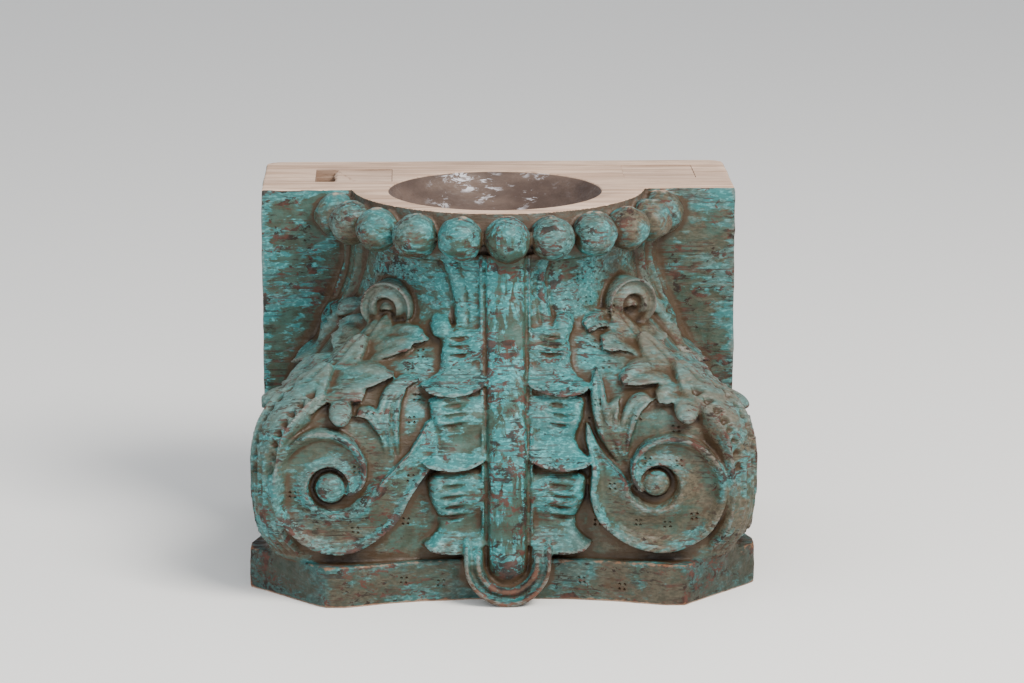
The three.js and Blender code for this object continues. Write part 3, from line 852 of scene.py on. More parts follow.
@dataclass(frozen=True)
class CornerBand:
    """Leaf and reeded roll down the corner's diagonal: scales above, teeth beside, reeds below."""

    side: Side
    out: tuple[float, ...] = (104, 115, 143, 183, 223, 247, 257, 257.5, 251, 235)
    up: tuple[float, ...] = (236, 210, 192, 174, 157, 138, 112, 76, 52, 34)
    widths: tuple[float, ...] = (13, 18, 20.5, 16, 13.5, 15.5)
    width_steps: tuple[float, ...] = (0.0, 0.3, 0.45, 0.62, 0.8, 1.0)
    crown: float = 5.0
    upper_crown: float = 13.0
    deep: float = 36.0
    upper_end: tuple[float, float] = (0.46, 0.32)
    teeth: int = 8
    teeth_run: tuple[float, float] = (0.40, 0.7)
    notch: float = 5.0
    reeds: int = 5
    reed_depth: float = 3.0
    reed_start: tuple[float, float] = (0.62, 0.70)
    scales: int = 4
    scales_run: tuple[float, float] = (0.03, 0.43)
    scale_step: float = 6.0
    scale_sink: float = 2.0
    scale_cut: float = 1.6
    scale_flute: float = 0.9
    ledge: float = 2.6
    ledge_place: float = 0.9
    ledge_width: float = 0.07
    ledge_start: tuple[float, float] = (0.38, 0.44)

    def notches(self, v: Array, aside: Array) -> Array:
        """Depth of the chip cuts between the teeth, v along the band and aside from its middle."""
        first, last = self.teeth_run
        phase = np.mod((v - first) / ((last - first) / self.teeth), 1.0)
        window = ramp(v, first - 0.01, first) * ramp(v, last + 0.01, last)
        cut = np.clip((0.30 * phase - np.abs(aside - 0.56)) / 0.10, 0, 1) * ramp(phase, 0.93, 0.88)
        return self.notch * cut * (0.35 + 0.65 * phase) * window

    def scaled(self, v: Array, across: Array) -> Array:
        """Height of the leaf's scales, with a cut down its middle and flutes to its edges."""
        start, end = self.scales_run
        aside = np.abs(across)
        run = np.clip((v - start) / (end - start), 0, 1) * self.scales - 0.75 * aside**1.6
        phase = np.mod(run, 1.0)
        raised = np.where(phase < 0.1, phase / 0.1, (1 - (phase - 0.1) / 0.9) ** 0.8)
        height = self.scale_step * raised - self.scale_sink
        height -= self.scale_cut * hump(across, 0.07)
        height -= self.scale_flute * np.cos(across * 14.0) * aside
        return height * ramp(v, start, start + 0.03) * ramp(v, end, end - 0.05)

    def relief(self, v: Array, across: Array) -> Array:
        """How far the surface drops below the band's middle line.

        Args:
            v: 0 at the neck to 1 at the abacus.
            across: -1 to 1, edge to edge.

        Returns:
            Drop in millimetres, less where the surface stands proud.
        """
        aside = np.abs(across)
        crown = self.crown + (self.upper_crown - self.crown) * ramp(v, *self.upper_end)
        ledge = hump(aside - self.ledge_place, self.ledge_width) * ramp(v, *self.ledge_start)
        reeding = (1 - np.abs(np.sin(across * self.reeds * math.pi / 2))) ** 1.4
        reeding = reeding * ramp(v, *self.reed_start)
        drop = crown * aside**2 + self.notches(v, aside) - self.ledge * ledge
        return drop + self.reed_depth * reeding - self.scaled(v, across)

    def build(self) -> Solid:
        """The band as a closed roll."""
        v = np.linspace(0, 1, 340)
        knots = np.linspace(0, 1, len(self.out))
        out = along(knots, self.out, v)
        up = along(knots, self.up, v)
        slope_out, slope_up = np.gradient(out, v), np.gradient(up, v)
        length = np.hypot(slope_out, slope_up)
        slope_out, slope_up = slope_out / length, slope_up / length
        width = along(self.width_steps, self.widths, v)
        across = np.concatenate([np.linspace(1, -1, 81), [-1.0, 1.0]])
        rings = []
        for k in range(len(v)):
            drop = self.relief(np.full_like(across, v[k]), across)
            drop[-2:] = self.deep
            radial = out[k] + slope_up[k] * drop
            z = up[k] - slope_out[k] * drop
            aside = across * width[k]
            x = self.side.value * (radial + aside) / math.sqrt(2)
            forward = (radial - aside) / math.sqrt(2)
            rings.append(np.stack([x, AXIS_Y - forward, z], axis=1))
        return ring_skin(np.array(rings))


@dataclass(frozen=True)
class BeadRow:
    """Row of knife-cut beads round the neck, under a thin collar."""

    collar_radius: float = 115.0
    collar_height: float = 38.0
    radius: float = 17.8
    ring_radius: float = 128.0
    first: float = -79.0
    pitch: float = 16.0
    count: int = 11
    facets: int = 22
    bearing_play: float = 0.7
    ring_play: float = 0.8
    sizes: tuple[float, float] = (0.985, 1.015)
    squats: tuple[float, float] = (0.97, 1.0)
    facet_depths: tuple[float, float] = (0.915, 0.96)

    def build(self) -> list[Solid]:
        """The collar and the beads."""
        rng = np.random.default_rng(SEED)
        plan = circle(240) * self.collar_radius + [0, AXIS_Y]
        levels = np.linspace(HEIGHT - self.collar_height, HEIGHT, 20)
        rings = np.stack([at_height(plan, z) for z in levels])
        row = [ring_skin(rings).ahead_of_slab()]
        for k in range(self.count):
            turn = self.first + k * self.pitch + rng.uniform(-self.bearing_play, self.bearing_play)
            bearing = math.radians(turn)
            ring = self.ring_radius + rng.uniform(-self.ring_play, self.ring_play)
            size = self.radius * rng.uniform(*self.sizes)
            forward = ring * math.cos(bearing)
            centre = np.array([ring * math.sin(bearing), AXIS_Y - forward, HEIGHT - self.radius])
            bead = ball(np.zeros(3), size, (1, 1, rng.uniform(*self.squats)), sides=64)
            for _ in range(self.facets):
                normal = rng.normal(size=3)
                normal /= np.linalg.norm(normal)
                past = np.clip(bead.points @ normal - size * rng.uniform(*self.facet_depths), 0, None)
                bead.points = bead.points - past[:, None] * normal
            bead.points = bead.points + centre
            row.append(bead)
        return row


@dataclass(frozen=True)
class Abacus:
    """Plate with canted corners and hollow sides that the capital stands on."""

    height: float = 32.0
    reach: float = 193.0
    cant_start: float = 135.0
    nose: float = 14.0
    sag: float = 20.0
    arris: float = 1.2
    chip: float = 3.0
    chip_aside: float = 130.0
    chip_ahead: float = 150.0
    chip_width: float = 9.0
    chip_height: float = 14.0
    wander: float = 0.9
    nicks: float = 0.5

    def outline(self) -> Array:
        """Plan of the plate, sideways and forward of the axis, from the left side round the front."""
        nose = self.cant_start - self.nose
        hollow = self.reach - self.sag
        t = np.linspace(0, 1, 60)[:, None]
        left = bow((-hollow, 0), (-hollow, nose / 2), (-self.reach, nose), t)
        start, end = np.array([-self.reach, self.cant_start]), np.array([-self.cant_start, self.reach])
        cant = (1 - t) * start + t * end
        front = bow((-nose, self.reach), (0, self.reach - 2 * self.sag), (nose, self.reach), t)
        half = np.vstack([left, cant])
        mirrored = half[::-1] * np.array([-1, 1])
        return np.vstack([half, front, mirrored])

    def build(self) -> Solid:
        """The plate, its arrises worn and its corners chipped."""
        plan = self.outline()
        levels = [0.0, 0.5, 1.5, *np.linspace(3, self.height - 3, 26), self.height - 1, self.height]
        beside = hump(np.abs(plan[:, 0]) - self.chip_aside, self.chip_width)
        beside = beside * (plan[:, 1] > self.chip_ahead)
        rings = []
        for z in levels:
            edge = min(z, self.height - z)
            place = at_height(plan, z)
            wear = self.arris * max(0.0, 1 - edge / 2.0)
            wear = wear + self.wander * lattice_noise(place, 22.0, 3)
            wear = wear + self.nicks * lattice_noise(place, 7.0, 4)
            corner = beside * hump(z, self.chip_height)
            wear = wear + self.chip * corner * (0.6 + lattice_noise(place, 9.0, 5))
            scale = 1 - np.clip(wear, 0, None) / np.linalg.norm(plan, axis=1)
            rings.append(at_height(plan * scale[:, None] * [1, -1] + [0, AXIS_Y], z))
        return ring_skin(np.array(rings)).ahead_of_slab()


@dataclass(frozen=True)
class Slab:
    """Plain back of the timber, sawn and planed by hand."""

    width: float = 372.0
    corner: float = 14.0
    step: float = 3.0
    plane_marks: float = 0.35
    wander: float = 0.3
    inset: float = 0.5
    arris: float = 0.6
    arris_height: float = 2.0

    def outline(self) -> Array:
        """Plan of the slab with its back corners rounded."""
        half = self.width / 2
        turn = np.linspace(0, math.pi / 2, 12)
        arc = np.stack([np.cos(turn), np.sin(turn)], axis=1) * self.corner
        right = arc + np.array([half - self.corner, BACK_Y - self.corner])
        left = arc[::-1] * np.array([-1, 1]) + np.array([self.corner - half, BACK_Y - self.corner])
        start = [-half, SLAB_FRONT_Y]
        corners = np.vstack([start, [half, SLAB_FRONT_Y], right, left, start])
        plan = []
        for a, b in zip(corners[:-1], corners[1:]):
            count = max(1, int(np.linalg.norm(b - a) / self.step))
            plan.append(a + (b - a) * np.linspace(0, 1, count, endpoint=False)[:, None])
        return np.vstack(plan)

    def build(self) -> Solid:
        """The slab, with shallow tool marks along the grain."""
        plan = self.outline()
        middle = np.array([0, (SLAB_FRONT_Y + BACK_Y) / 2])
        outward = plan - middle
        at_side = np.abs(outward[:, :1]) > self.width / 2 - 1
        outward = np.where(at_side, outward * [1, 0], outward * [0, 1])
        outward /= np.maximum(np.linalg.norm(outward, axis=1)[:, None], 1e-6)
        rings = []
        for z in np.linspace(0, HEIGHT, int(HEIGHT / self.step)):
            place = at_height(plan, z)
            marks = self.plane_marks * lattice_noise(place * [0.25, 0.25, 1], 6.0, 8)
            marks = marks + self.wander * lattice_noise(place, 40.0, 9)
            edge = max(0.0, 1 - min(z, HEIGHT - z) / self.arris_height)
            shift = np.clip(marks - self.inset - self.arris * edge, -2.0, 0)
            rings.append(at_height(plan + outward * shift[:, None], z))
        return ring_skin(np.array(rings))


# What is cut out of the timber


@dataclass(frozen=True)
class Bowl:
    """Shallow round bowl turned into the top."""

    x: float = -3.0
    y: float = 24.0
    radius: float = 83.5
    depth: float = 48.0
    lathe_mark: float = 0.12
    lathe_pace: float = 2.4

    @property
    def sphere(self) -> float:
        """Radius of the sphere that the bowl is part of."""
        return (self.radius**2 + self.depth**2) / (2 * self.depth)

    def build(self) -> Solid:
        """The bowl as the body that the turner took out."""
        opening = math.asin(self.radius / self.sphere)
        angle = np.linspace(0.02, opening, 22)
        radial = np.concatenate([self.sphere * np.sin(angle), [self.radius + 1.2, self.radius + 2.0]])
        drop = np.concatenate([self.sphere * (1 - np.cos(angle)) - self.depth, [0.8, 20.0]])
        round_plan = circle(112)
        rings = []
        for r, z in zip(radial, drop):
            lathe = r + self.lathe_mark * math.sin(z * self.lathe_pace)
            rings.append(at_height(np.array([self.x, self.y]) + lathe * round_plan, HEIGHT + z))
        return ring_skin(np.array(rings))


@dataclass(frozen=True)
class PunchMarks:
    """Groups of four punched dots on the ground and the scroll bands."""

    spread: float = 1.9
    radius: float = 1.5
    play: float = 0.4
    in_front: float = -400.0
    places: tuple[tuple[float, float], ...] = (
        (-65, 152), (-100, 146), (-69, 137), (-70, 97), (-74, 62), (-112, 58), (-110, 105),
        (-158, 86), (-90, 60), (-62, 180), (-70, 172), (-48, 14), (-76, 18), (70, 150), (66, 135),
        (100, 140), (128, 132), (72, 185), (80, 90), (100, 62), (122, 60), (142, 66), (130, 108),
        (106, 110), (66, 214), (84, 206), (58, 16), (88, 12), (78, 172), (60, 232), (70, 60),
    )

    def build(self, surface: bpy.types.Object) -> Solid:
        """Cutters for the dots, each set on the carved surface that it marks.

        Args:
            surface: The carved timber.

        Returns:
            All cutters in one mesh.
        """
        rng = np.random.default_rng(SEED + 1)
        cutters = []
        for x, z in self.places:
            for dx, dz in ((-1, -1), (1, -1), (-1, 1), (1, 1)):
                at_x = x + dx * self.spread + rng.uniform(-self.play, self.play)
                at_z = z + dz * self.spread + rng.uniform(-self.play, self.play)
                start = Vector((at_x, self.in_front, at_z)) * MM
                hit, where, _, _ = surface.ray_cast(start, Vector((0, 1, 0)))
                if hit:
                    centre = np.array(where) / MM
                    cutters.append(ball(centre, self.radius, (1, 0.95, 1), sides=6))
        return join_all(cutters)


@dataclass(frozen=True)
class Mortise:
    """Mortise let into the top, and its wood plug: a short plug is cracked from front to back."""

    name: str
    x: tuple[float, float]
    y: tuple[float, float]
    plug_x: tuple[float, float]
    drop: float
    depth: float = 28.0
    gap: float = 0.3
    crack: tuple[float, float] = (19.0, 1.5)
    crack_width: float = 0.8
    crack_depth: float = 1.1
    break_run: float = 16.0
    break_play: float = 1.8
    break_edge: float = 4.0
    break_drop: float = 2.5

    def pocket(self) -> Solid:
        """The hole that the mortise chisel left."""
        low = (self.x[0], self.y[0], HEIGHT - self.depth)
        return box(low, (self.x[1], self.y[1], HEIGHT + 20))

    def plug(self) -> Solid:
        """The plug, its top a little low and its free end broken ragged."""
        long = np.linspace(self.plug_x[0] + self.gap, self.plug_x[1] - self.gap, 60)
        deep = np.linspace(self.y[0] + self.gap, self.y[1] - self.gap, 50)
        x, y = np.meshgrid(long, deep)
        top = np.stack([x, y, np.full_like(x, HEIGHT - self.drop)], axis=2)
        flat = top.reshape(-1, 3)
        flat[:, 2] += 0.18 * lattice_noise(flat * [0.2, 1, 1], 5.0, 12) - 0.15
        free = self.plug_x[0] > self.x[0] + 1
        if free:
            back = (flat[:, 1] - self.y[0]) / (self.y[1] - self.y[0])
            split = self.plug_x[0] + self.crack[0] + (self.crack[1] - self.crack[0]) * back
            flat[:, 2] -= self.crack_depth * hump(flat[:, 0] - split, self.crack_width)
            ragged = lattice_noise(flat * [0.0, 1, 1], 6.0, 13) * self.break_play
            near = ramp(flat[:, 0], self.plug_x[0] + self.break_run, self.plug_x[0])
            flat[:, 0] += np.clip(ragged + 1.0, 0, None) * near
            edge = ramp(flat[:, 0], self.plug_x[0] + self.break_edge, self.plug_x[0])
            flat[:, 2] -= self.break_drop * edge
        top = flat.reshape(top.shape)
        bottom = np.stack([x, y, np.full_like(x, HEIGHT - self.depth + self.gap)], axis=2)
        rows = np.concatenate([top, bottom[:, ::-1]], axis=1)
        return ring_skin(rows)


@dataclass(frozen=True)
class HollowGauge:
    """Measures how the timber closes in around its surface, on a coarse model made of small cubes."""

    cell: float = 2.0
    low: tuple[float, float, float] = (-216.0, -176.0, -20.0)
    counts: tuple[int, int, int] = (216, 176, 164)
    crossings: int = 12
    spreads: dict[Gauge, float] = field(default_factory=lambda: {Gauge.PROUD: 5.5, Gauge.ARRIS: 2.4})

    def cubes(self, piece: bpy.types.Object) -> Array:
        """1 for each cube of timber and 0 for the rest, found by looking along Y through every row."""
        nx, ny, nz = self.counts
        turns = np.zeros((nx, ny + 1, nz), np.float32)
        ahead = Vector((0, 1, 0))
        for i in range(nx):
            for k in range(nz):
                x = self.low[0] + (i + 0.5) * self.cell
                z = self.low[2] + (k + 0.5) * self.cell
                y = self.low[1]
                for _ in range(self.crossings):
                    hit, where, facing, _ = piece.ray_cast(Vector((x, y, z)) * MM, ahead)
                    if not hit:
                        break
                    place = where.y / MM
                    row = min(max(int((place - self.low[1]) / self.cell + 0.5), 0), ny)
                    turns[i, row, k] += 1.0 if facing.y < 0 else -1.0
                    y = place + 0.05
        return np.clip(np.cumsum(turns, axis=1)[:, :ny], 0, 1)

    def blurred(self, cubes: Array, spread: float) -> Array:
        """The cubes seen softly, over a spread in millimetres."""
        reach = int(3 * spread / self.cell)
        steps = np.arange(-reach, reach + 1)
        weights = np.exp(-0.5 * (steps * self.cell / spread) ** 2)
        weights /= weights.sum()
        for axis in range(3):
            wide = np.pad(cubes, [(reach, reach) if a == axis else (0, 0) for a in range(3)])
            out = np.zeros_like(cubes)
            for k, weight in enumerate(weights):
                out += np.float32(weight) * np.take(wide, range(k, k + cubes.shape[axis]), axis=axis)
            cubes = out
        return cubes

    def read(self, cubes: Array, places: Array) -> Array:
        """Value of the soft cubes at each place."""
        at = (places - np.array(self.low)) / self.cell - 0.5
        base = np.clip(np.floor(at).astype(int), 0, np.array(self.counts) - 2)
        total = np.zeros(len(places))
        for step, weight in cube_corners(at - base):
            i, j, k = (base + step).T
            total += weight * cubes[i, j, k]
        return total

    def mark(self, piece: bpy.types.Object) -> None:
        """Writes each gauge's value a point: above 0 where it stands proud, below 0 where it lies deep.

        Args:
            piece: The timber.
        """
        places = mesh_places(piece.data)
        cubes = self.cubes(piece)
        for kind, spread in self.spreads.items():
            proud = 0.5 - self.read(self.blurred(cubes, spread), places)
            layer = piece.data.attributes.new(kind.value, "FLOAT", "POINT")
            layer.data.foreach_set("value", proud.astype(np.float32))


# Node graphs

Socket = bpy.types.NodeSocket


class Ink:
    """Short words for building one material's nodes."""

    def __init__(self, name: str) -> None:
        """Starts a material with a bare surface shader."""
        self.material = bpy.data.materials.new(name)
        self.material.use_nodes = True
        self.nodes = self.material.node_tree.nodes
        self.links = self.material.node_tree.links
        self.place = self.node("TexCoord", {}).outputs["Object"]
        self.x, self.y, self.z = self.axes(self.place)
        self.aside = self.math("ABSOLUTE", self.x)
        self.from_axis = self.distance((0, AXIS_Y, 0), PLAN)
        self.lean = self.axes(self.node("NewGeometry", {}).outputs["Normal"])[2]

    def surface(self, looks: dict[str, object]) -> bpy.types.Material:
        """The finished material.

        Args:
            looks: What each input of the surface shader gets, by the input's name.

        Returns:
            The material.
        """
        for name, value in looks.items():
            self.put(self.nodes["Principled BSDF"].inputs[name], value)
        return self.material

    def put(self, socket: Socket, value: object) -> None:
        """Sets a socket to a number, a colour or another node's output."""
        if isinstance(value, Socket):
            self.links.new(value, socket)
        else:
            socket.default_value = value

    def node(self, kind: str, inputs: dict[int | str, object], **settings: object) -> bpy.types.Node:
        """A new node.

        Args:
            kind: The node's type, without the words that all types start with.
            inputs: What each input gets, by its number or its name.
            **settings: The node's own choices, made before its inputs are set.

        Returns:
            The node.
        """
        node = self.nodes.new("ShaderNode" + kind)
        for name, choice in settings.items():
            setattr(node, name, choice)
        for key, value in inputs.items():
            self.put(node.inputs[key], value)
        return node

    def axes(self, vector: Socket) -> list[Socket]:
        """The three parts of a vector."""
        return list(self.node("SeparateXYZ", {0: vector}).outputs)

    def math(self, operation: str, a: object, b: object = 0.0, clamp: bool = False) -> Socket:
        """One arithmetic step."""
        return self.node("Math", {0: a, 1: b}, operation=operation, use_clamp=clamp).outputs[0]

    def times(self, *parts: object) -> Socket:
        """Product of patterns and numbers."""
        return reduce(lambda a, b: self.math("MULTIPLY", a, b), parts)

    def most(self, *parts: object) -> Socket:
        """Greatest of several patterns."""
        return reduce(lambda a, b: self.math("MAXIMUM", a, b), parts)

    def total(self, *parts: tuple[object, float]) -> Socket:
        """Sum of patterns, each times its weight."""
        return reduce(lambda a, b: self.math("ADD", a, b), [self.times(*part) for part in parts])

    def span(self, value: object, low: float, high: float, a: float = 0.0, b: float = 1.0) -> Socket:
        """A soft step: a at low, b at high."""
        inputs = {0: value, 1: low, 2: high, 3: a, 4: b}
        return self.node("MapRange", inputs, interpolation_type="SMOOTHSTEP").outputs[0]

    def stretched(self, scale: Sequence[float]) -> Socket:
        """Object places scaled by axis, so that a pattern runs long one way."""
        return self.node("Mapping", {"Vector": self.place, "Scale": scale}).outputs[0]

    def distance(self, centre: Sequence[float], axes: Sequence[float]) -> Socket:
        """Distance in metres from a centre in millimetres, along the axes that are 1."""
        inputs = {0: self.stretched(axes), 1: [c * MM for c in centre]}
        return self.node("VectorMath", inputs, operation="DISTANCE").outputs["Value"]

    def noise(
        self,
        scale: float,
        detail: float = 4.0,
        rough: float = 0.55,
        stretch: Sequence[float] = (1, 1, 1),
        warp: float = 0.0,
    ) -> Socket:
        """Cloudy pattern, as many waves a metre as scale."""
        inputs = {"Scale": scale, "Detail": detail, "Roughness": rough, "Distortion": warp}
        return self.node("TexNoise", {"Vector": self.stretched(stretch), **inputs}).outputs["Fac"]

    def mix(self, amount: object, a: object, b: object) -> Socket:
        """Colour a turning to b."""
        return self.node("Mix", {0: amount, 6: a, 7: b}, data_type="RGBA").outputs[2]

    def blend(self, amount: object, a: object, b: object) -> Socket:
        """Number a turning to b."""
        return self.node("Mix", {0: amount, 2: a, 3: b}).outputs[0]

    def gauge(self, kind: Gauge) -> Socket:
        """A value measured on the piece."""
        return self.node("Attribute", {}, attribute_name=kind.value).outputs["Fac"]

    def bump(self, height: Socket, strength: float, distance: float, below: object = None) -> Socket:
        """Fine relief from a pattern."""
        inputs = {"Height": height, "Strength": strength, "Distance": distance}
        if below is not None:
            inputs["Normal"] = below
        return self.node("Bump", inputs).outputs[0]


def tint(code: str) -> tuple[float, float, float, float]:
    """Linear colour from a six-digit screen colour."""
    parts = [int(code[i:i + 2], 16) / 255 for i in (0, 2, 4)]
    linear = [p / 12.92 if p <= 0.04045 else ((p + 0.055) / 1.055) ** 2.4 for p in parts]
    return (*linear, 1.0)


class Zone(Enum):
    """Places on the timber where its finish changes.

    Each is a row of soft edges: a measure of the ink, where the place starts and where it is full.
    Measures are in metres, apart from lean, which is 1 where the surface lies level.
    """

    FOOT = (("z", 0.032, 0.004),)
    LOW = (("z", 0.085, 0.020),)
    RIGHT = (("x", 0.045, 0.130),)
    PLATE = (("z", 0.036, 0.030),)
    CANTS = (("aside", 0.128, 0.140), ("z", 0.036, 0.030))
    # Low on the slab's front beside the bell, where the bell's shadow is painted.
    SLAB_FOOT = (("y", 0.018, 0.026), ("z", 0.235, 0.150))
    FLANKS = (("aside", 0.060, 0.100), ("y", 0.030, -0.010))
    HUSKS = (("aside", 0.070, 0.062), ("y", -0.070, -0.085))
    HUSK_FRONTS = (("aside", 0.066, 0.056), ("y", -0.090, -0.110))
    LEAVES = (("aside", 0.060, 0.090), ("z", 0.125, 0.150), ("z", 0.215, 0.195), ("y", 0.010, -0.010))
    NECK = (("z", 0.196, 0.214), ("z", 0.254, 0.246), ("y", 0.000, -0.030))
    BEADS = (("z", 0.246, 0.252), ("y", 0.030, 0.020))
    BEADS_BELOW = (("y", 0.030, 0.020), ("z", 0.272, 0.252), ("z", 0.246, 0.250))
    COLLAR_PLAN = (("from_axis", 0.1182, 0.1172),)
    COLLAR = (*COLLAR_PLAN, ("z", 0.248, 0.258))
    COLLAR_TOP = (("from_axis", 0.1175, 0.1165),)
    SLAB_TOP = (("y", 0.0275, 0.0285),)
    LEVEL_TOP = (("z", 0.2815, 0.2830), ("lean", 0.55, 0.75))
    CROWNS = (("z", 0.2825, 0.2848),)
    BACK = (("y", 0.1512, 0.1522),)
    UNDERSIDE = (("z", 0.0016, 0.0006),)
    MORTISES = (
        ("aside", 0.0800, 0.0810), ("aside", 0.1620, 0.1610),
        ("y", 0.0605, 0.0612), ("y", 0.1300, 0.1290), ("z", 0.2540, 0.2550),
    )


@dataclass
class Zones:
    """Draws each place's mask, 1 inside and 0 outside, once for a material."""

    ink: Ink
    bowl: Bowl
    drawn: dict[Zone, Socket] = field(default_factory=dict)

    def at(self, zone: Zone) -> Socket:
        """Mask of a place with straight edges."""
        if zone not in self.drawn:
            edges = (self.ink.span(getattr(self.ink, measure), *edge) for measure, *edge in zone.value)
            self.drawn[zone] = self.ink.times(*edges)
        return self.drawn[zone]

    @cached_property
    def proud(self) -> Socket:
        """Above 0 on what stands up, below 0 in the hollows."""
        return self.ink.gauge(Gauge.PROUD)

    @cached_property
    def arris(self) -> Socket:
        """Above 0 on sharp edges."""
        return self.ink.gauge(Gauge.ARRIS)

    def outside(self, mask: Socket) -> Socket:
        """The rest of a mask."""
        return self.ink.math("SUBTRACT", 1.0, mask)

    @cached_property
    def rib(self) -> Socket:
        """The middle rib."""
        ink = self.ink
        off = ink.math("ABSOLUTE", ink.math("SUBTRACT", ink.x, RIB_X * MM))
        return ink.times(ink.span(off, 0.0180, 0.0165), ink.span(ink.y, -0.070, -0.085))

    @cached_property
    def curls(self) -> Socket:
        """The two front curls under the beads."""
        ink = self.ink
        rolls = []
        for side, (x, z) in CURLS.items():
            rolls.append(ink.span(ink.distance((side.value * x, 0, z), FRONT), 0.026, 0.020))
        return ink.times(ink.most(*rolls), ink.span(ink.y, -0.01, -0.02))

    @cached_property
    def scrolls(self) -> Socket:
        """The ribbons of the two front scrolls, round their eyes."""
        ink = self.ink
        ribbons = []
        for side, (x, z) in EYES.items():
            away = ink.distance((side.value * x, 0, z), FRONT)
            ribbons.append(ink.times(ink.span(away, 0.012, 0.018), ink.span(away, 0.053, 0.049)))
        return ink.times(ink.most(*ribbons), ink.span(ink.y, -0.10, -0.12))

    @cached_property
    def neck(self) -> Socket:
        """The front of the neck below the beads, apart from the curls."""
        return self.ink.times(self.at(Zone.NECK), self.outside(self.curls))

    @cached_property
    def bead_bottoms_shade(self) -> Socket:
        """The lower half of the beads, darkened with painted shade."""
        return self.ink.times(self.at(Zone.BEADS_BELOW), self.outside(self.at(Zone.COLLAR_PLAN)))

    @cached_property
    def top(self) -> Socket:
        """The sanded top, and rubbed spots on the beads' crowns."""
        ink = self.ink
        spots = ink.span(ink.noise(120.0, 4.0, 0.6), 0.46, 0.58)
        rubbed = ink.times(spots, self.at(Zone.CROWNS), 0.7)
        within = ink.most(self.at(Zone.COLLAR_TOP), self.at(Zone.SLAB_TOP), rubbed)
        return ink.times(self.at(Zone.LEVEL_TOP), within)

    @cached_property
    def pockets(self) -> Socket:
        """The walls of the mortises."""
        ink = self.ink
        below = ink.most(ink.span(ink.z, 0.2830, 0.2820), ink.span(ink.lean, 0.7, 0.5))
        return ink.times(self.at(Zone.MORTISES), below)

    @cached_property
    def hollow(self) -> Socket:
        """The inside of the bowl."""
        ink = self.ink
        centre = (self.bowl.x, self.bowl.y, HEIGHT - self.bowl.depth + self.bowl.sphere)
        near = self.bowl.sphere * MM
        inside = ink.span(ink.distance(centre, (1, 1, 1)), near + 0.0012, near + 0.0006)
        return ink.times(inside, ink.span(ink.z, 0.2846, 0.2838))

    @cached_property
    def rim(self) -> Socket:
        """All within the bowl's plan, so that no paint shows on its rim."""
        ink = self.ink
        wide = (self.bowl.radius + 3.0) * MM
        plan = ink.span(ink.distance((self.bowl.x, self.bowl.y, 0), PLAN), wide, wide - 0.0005)
        return ink.times(plan, ink.span(ink.z, 0.230, 0.234))

    @cached_property
    def hidden(self) -> Socket:
        """The back and the underside."""
        return self.ink.most(self.at(Zone.BACK), self.at(Zone.UNDERSIDE))


@dataclass(frozen=True)
class RawWood:
    """Sanded old timber with its grain along X."""

    pale: str = "DDBFA8"
    deep: str = "BD9D86"
    knot: str = "8A6A54"
    smudge: str = "9C8170"
    sunk: str = "4A3628"

    def colour(self, ink: Ink) -> Socket:
        """The timber's colour."""
        grain = ink.noise(14.0, 5.0, 0.62, (0.35, 6.0, 9.0), 0.6)
        fibre = ink.noise(300.0, 2.0, 0.65, (0.035, 1.0, 1.0))
        pores = ink.noise(520.0, 1.0, 0.5, (0.05, 1.0, 1.0))
        wide = ink.noise(11.0, 4.0, 0.6, (0.5, 1.0, 1.0))
        body = ink.mix(ink.span(grain, 0.40, 0.62), tint(self.pale), tint(self.deep))
        body = ink.mix(ink.times(ink.span(fibre, 0.50, 0.70), 0.45), body, tint(self.knot))
        body = ink.mix(ink.times(ink.span(pores, 0.62, 0.66), 0.55), body, tint(self.knot))
        return ink.mix(ink.times(ink.span(wide, 0.46, 0.66), 0.4), body, tint(self.smudge))

    def build(self) -> bpy.types.Material:
        """The plugs' finish, darker down their sides."""
        ink = Ink("plug_wood")
        fibre = ink.noise(420.0, 3.0, 0.6, (0.06, 1.0, 1.0))
        return ink.surface({
            "Base Color": ink.mix(ink.span(ink.z, 0.2838, 0.2790), self.colour(ink), tint(self.sunk)),
            "Roughness": ink.span(ink.noise(120.0), 0.3, 0.7, 0.62, 0.8),
            "Normal": ink.bump(fibre, 0.35, 0.0006),
        })


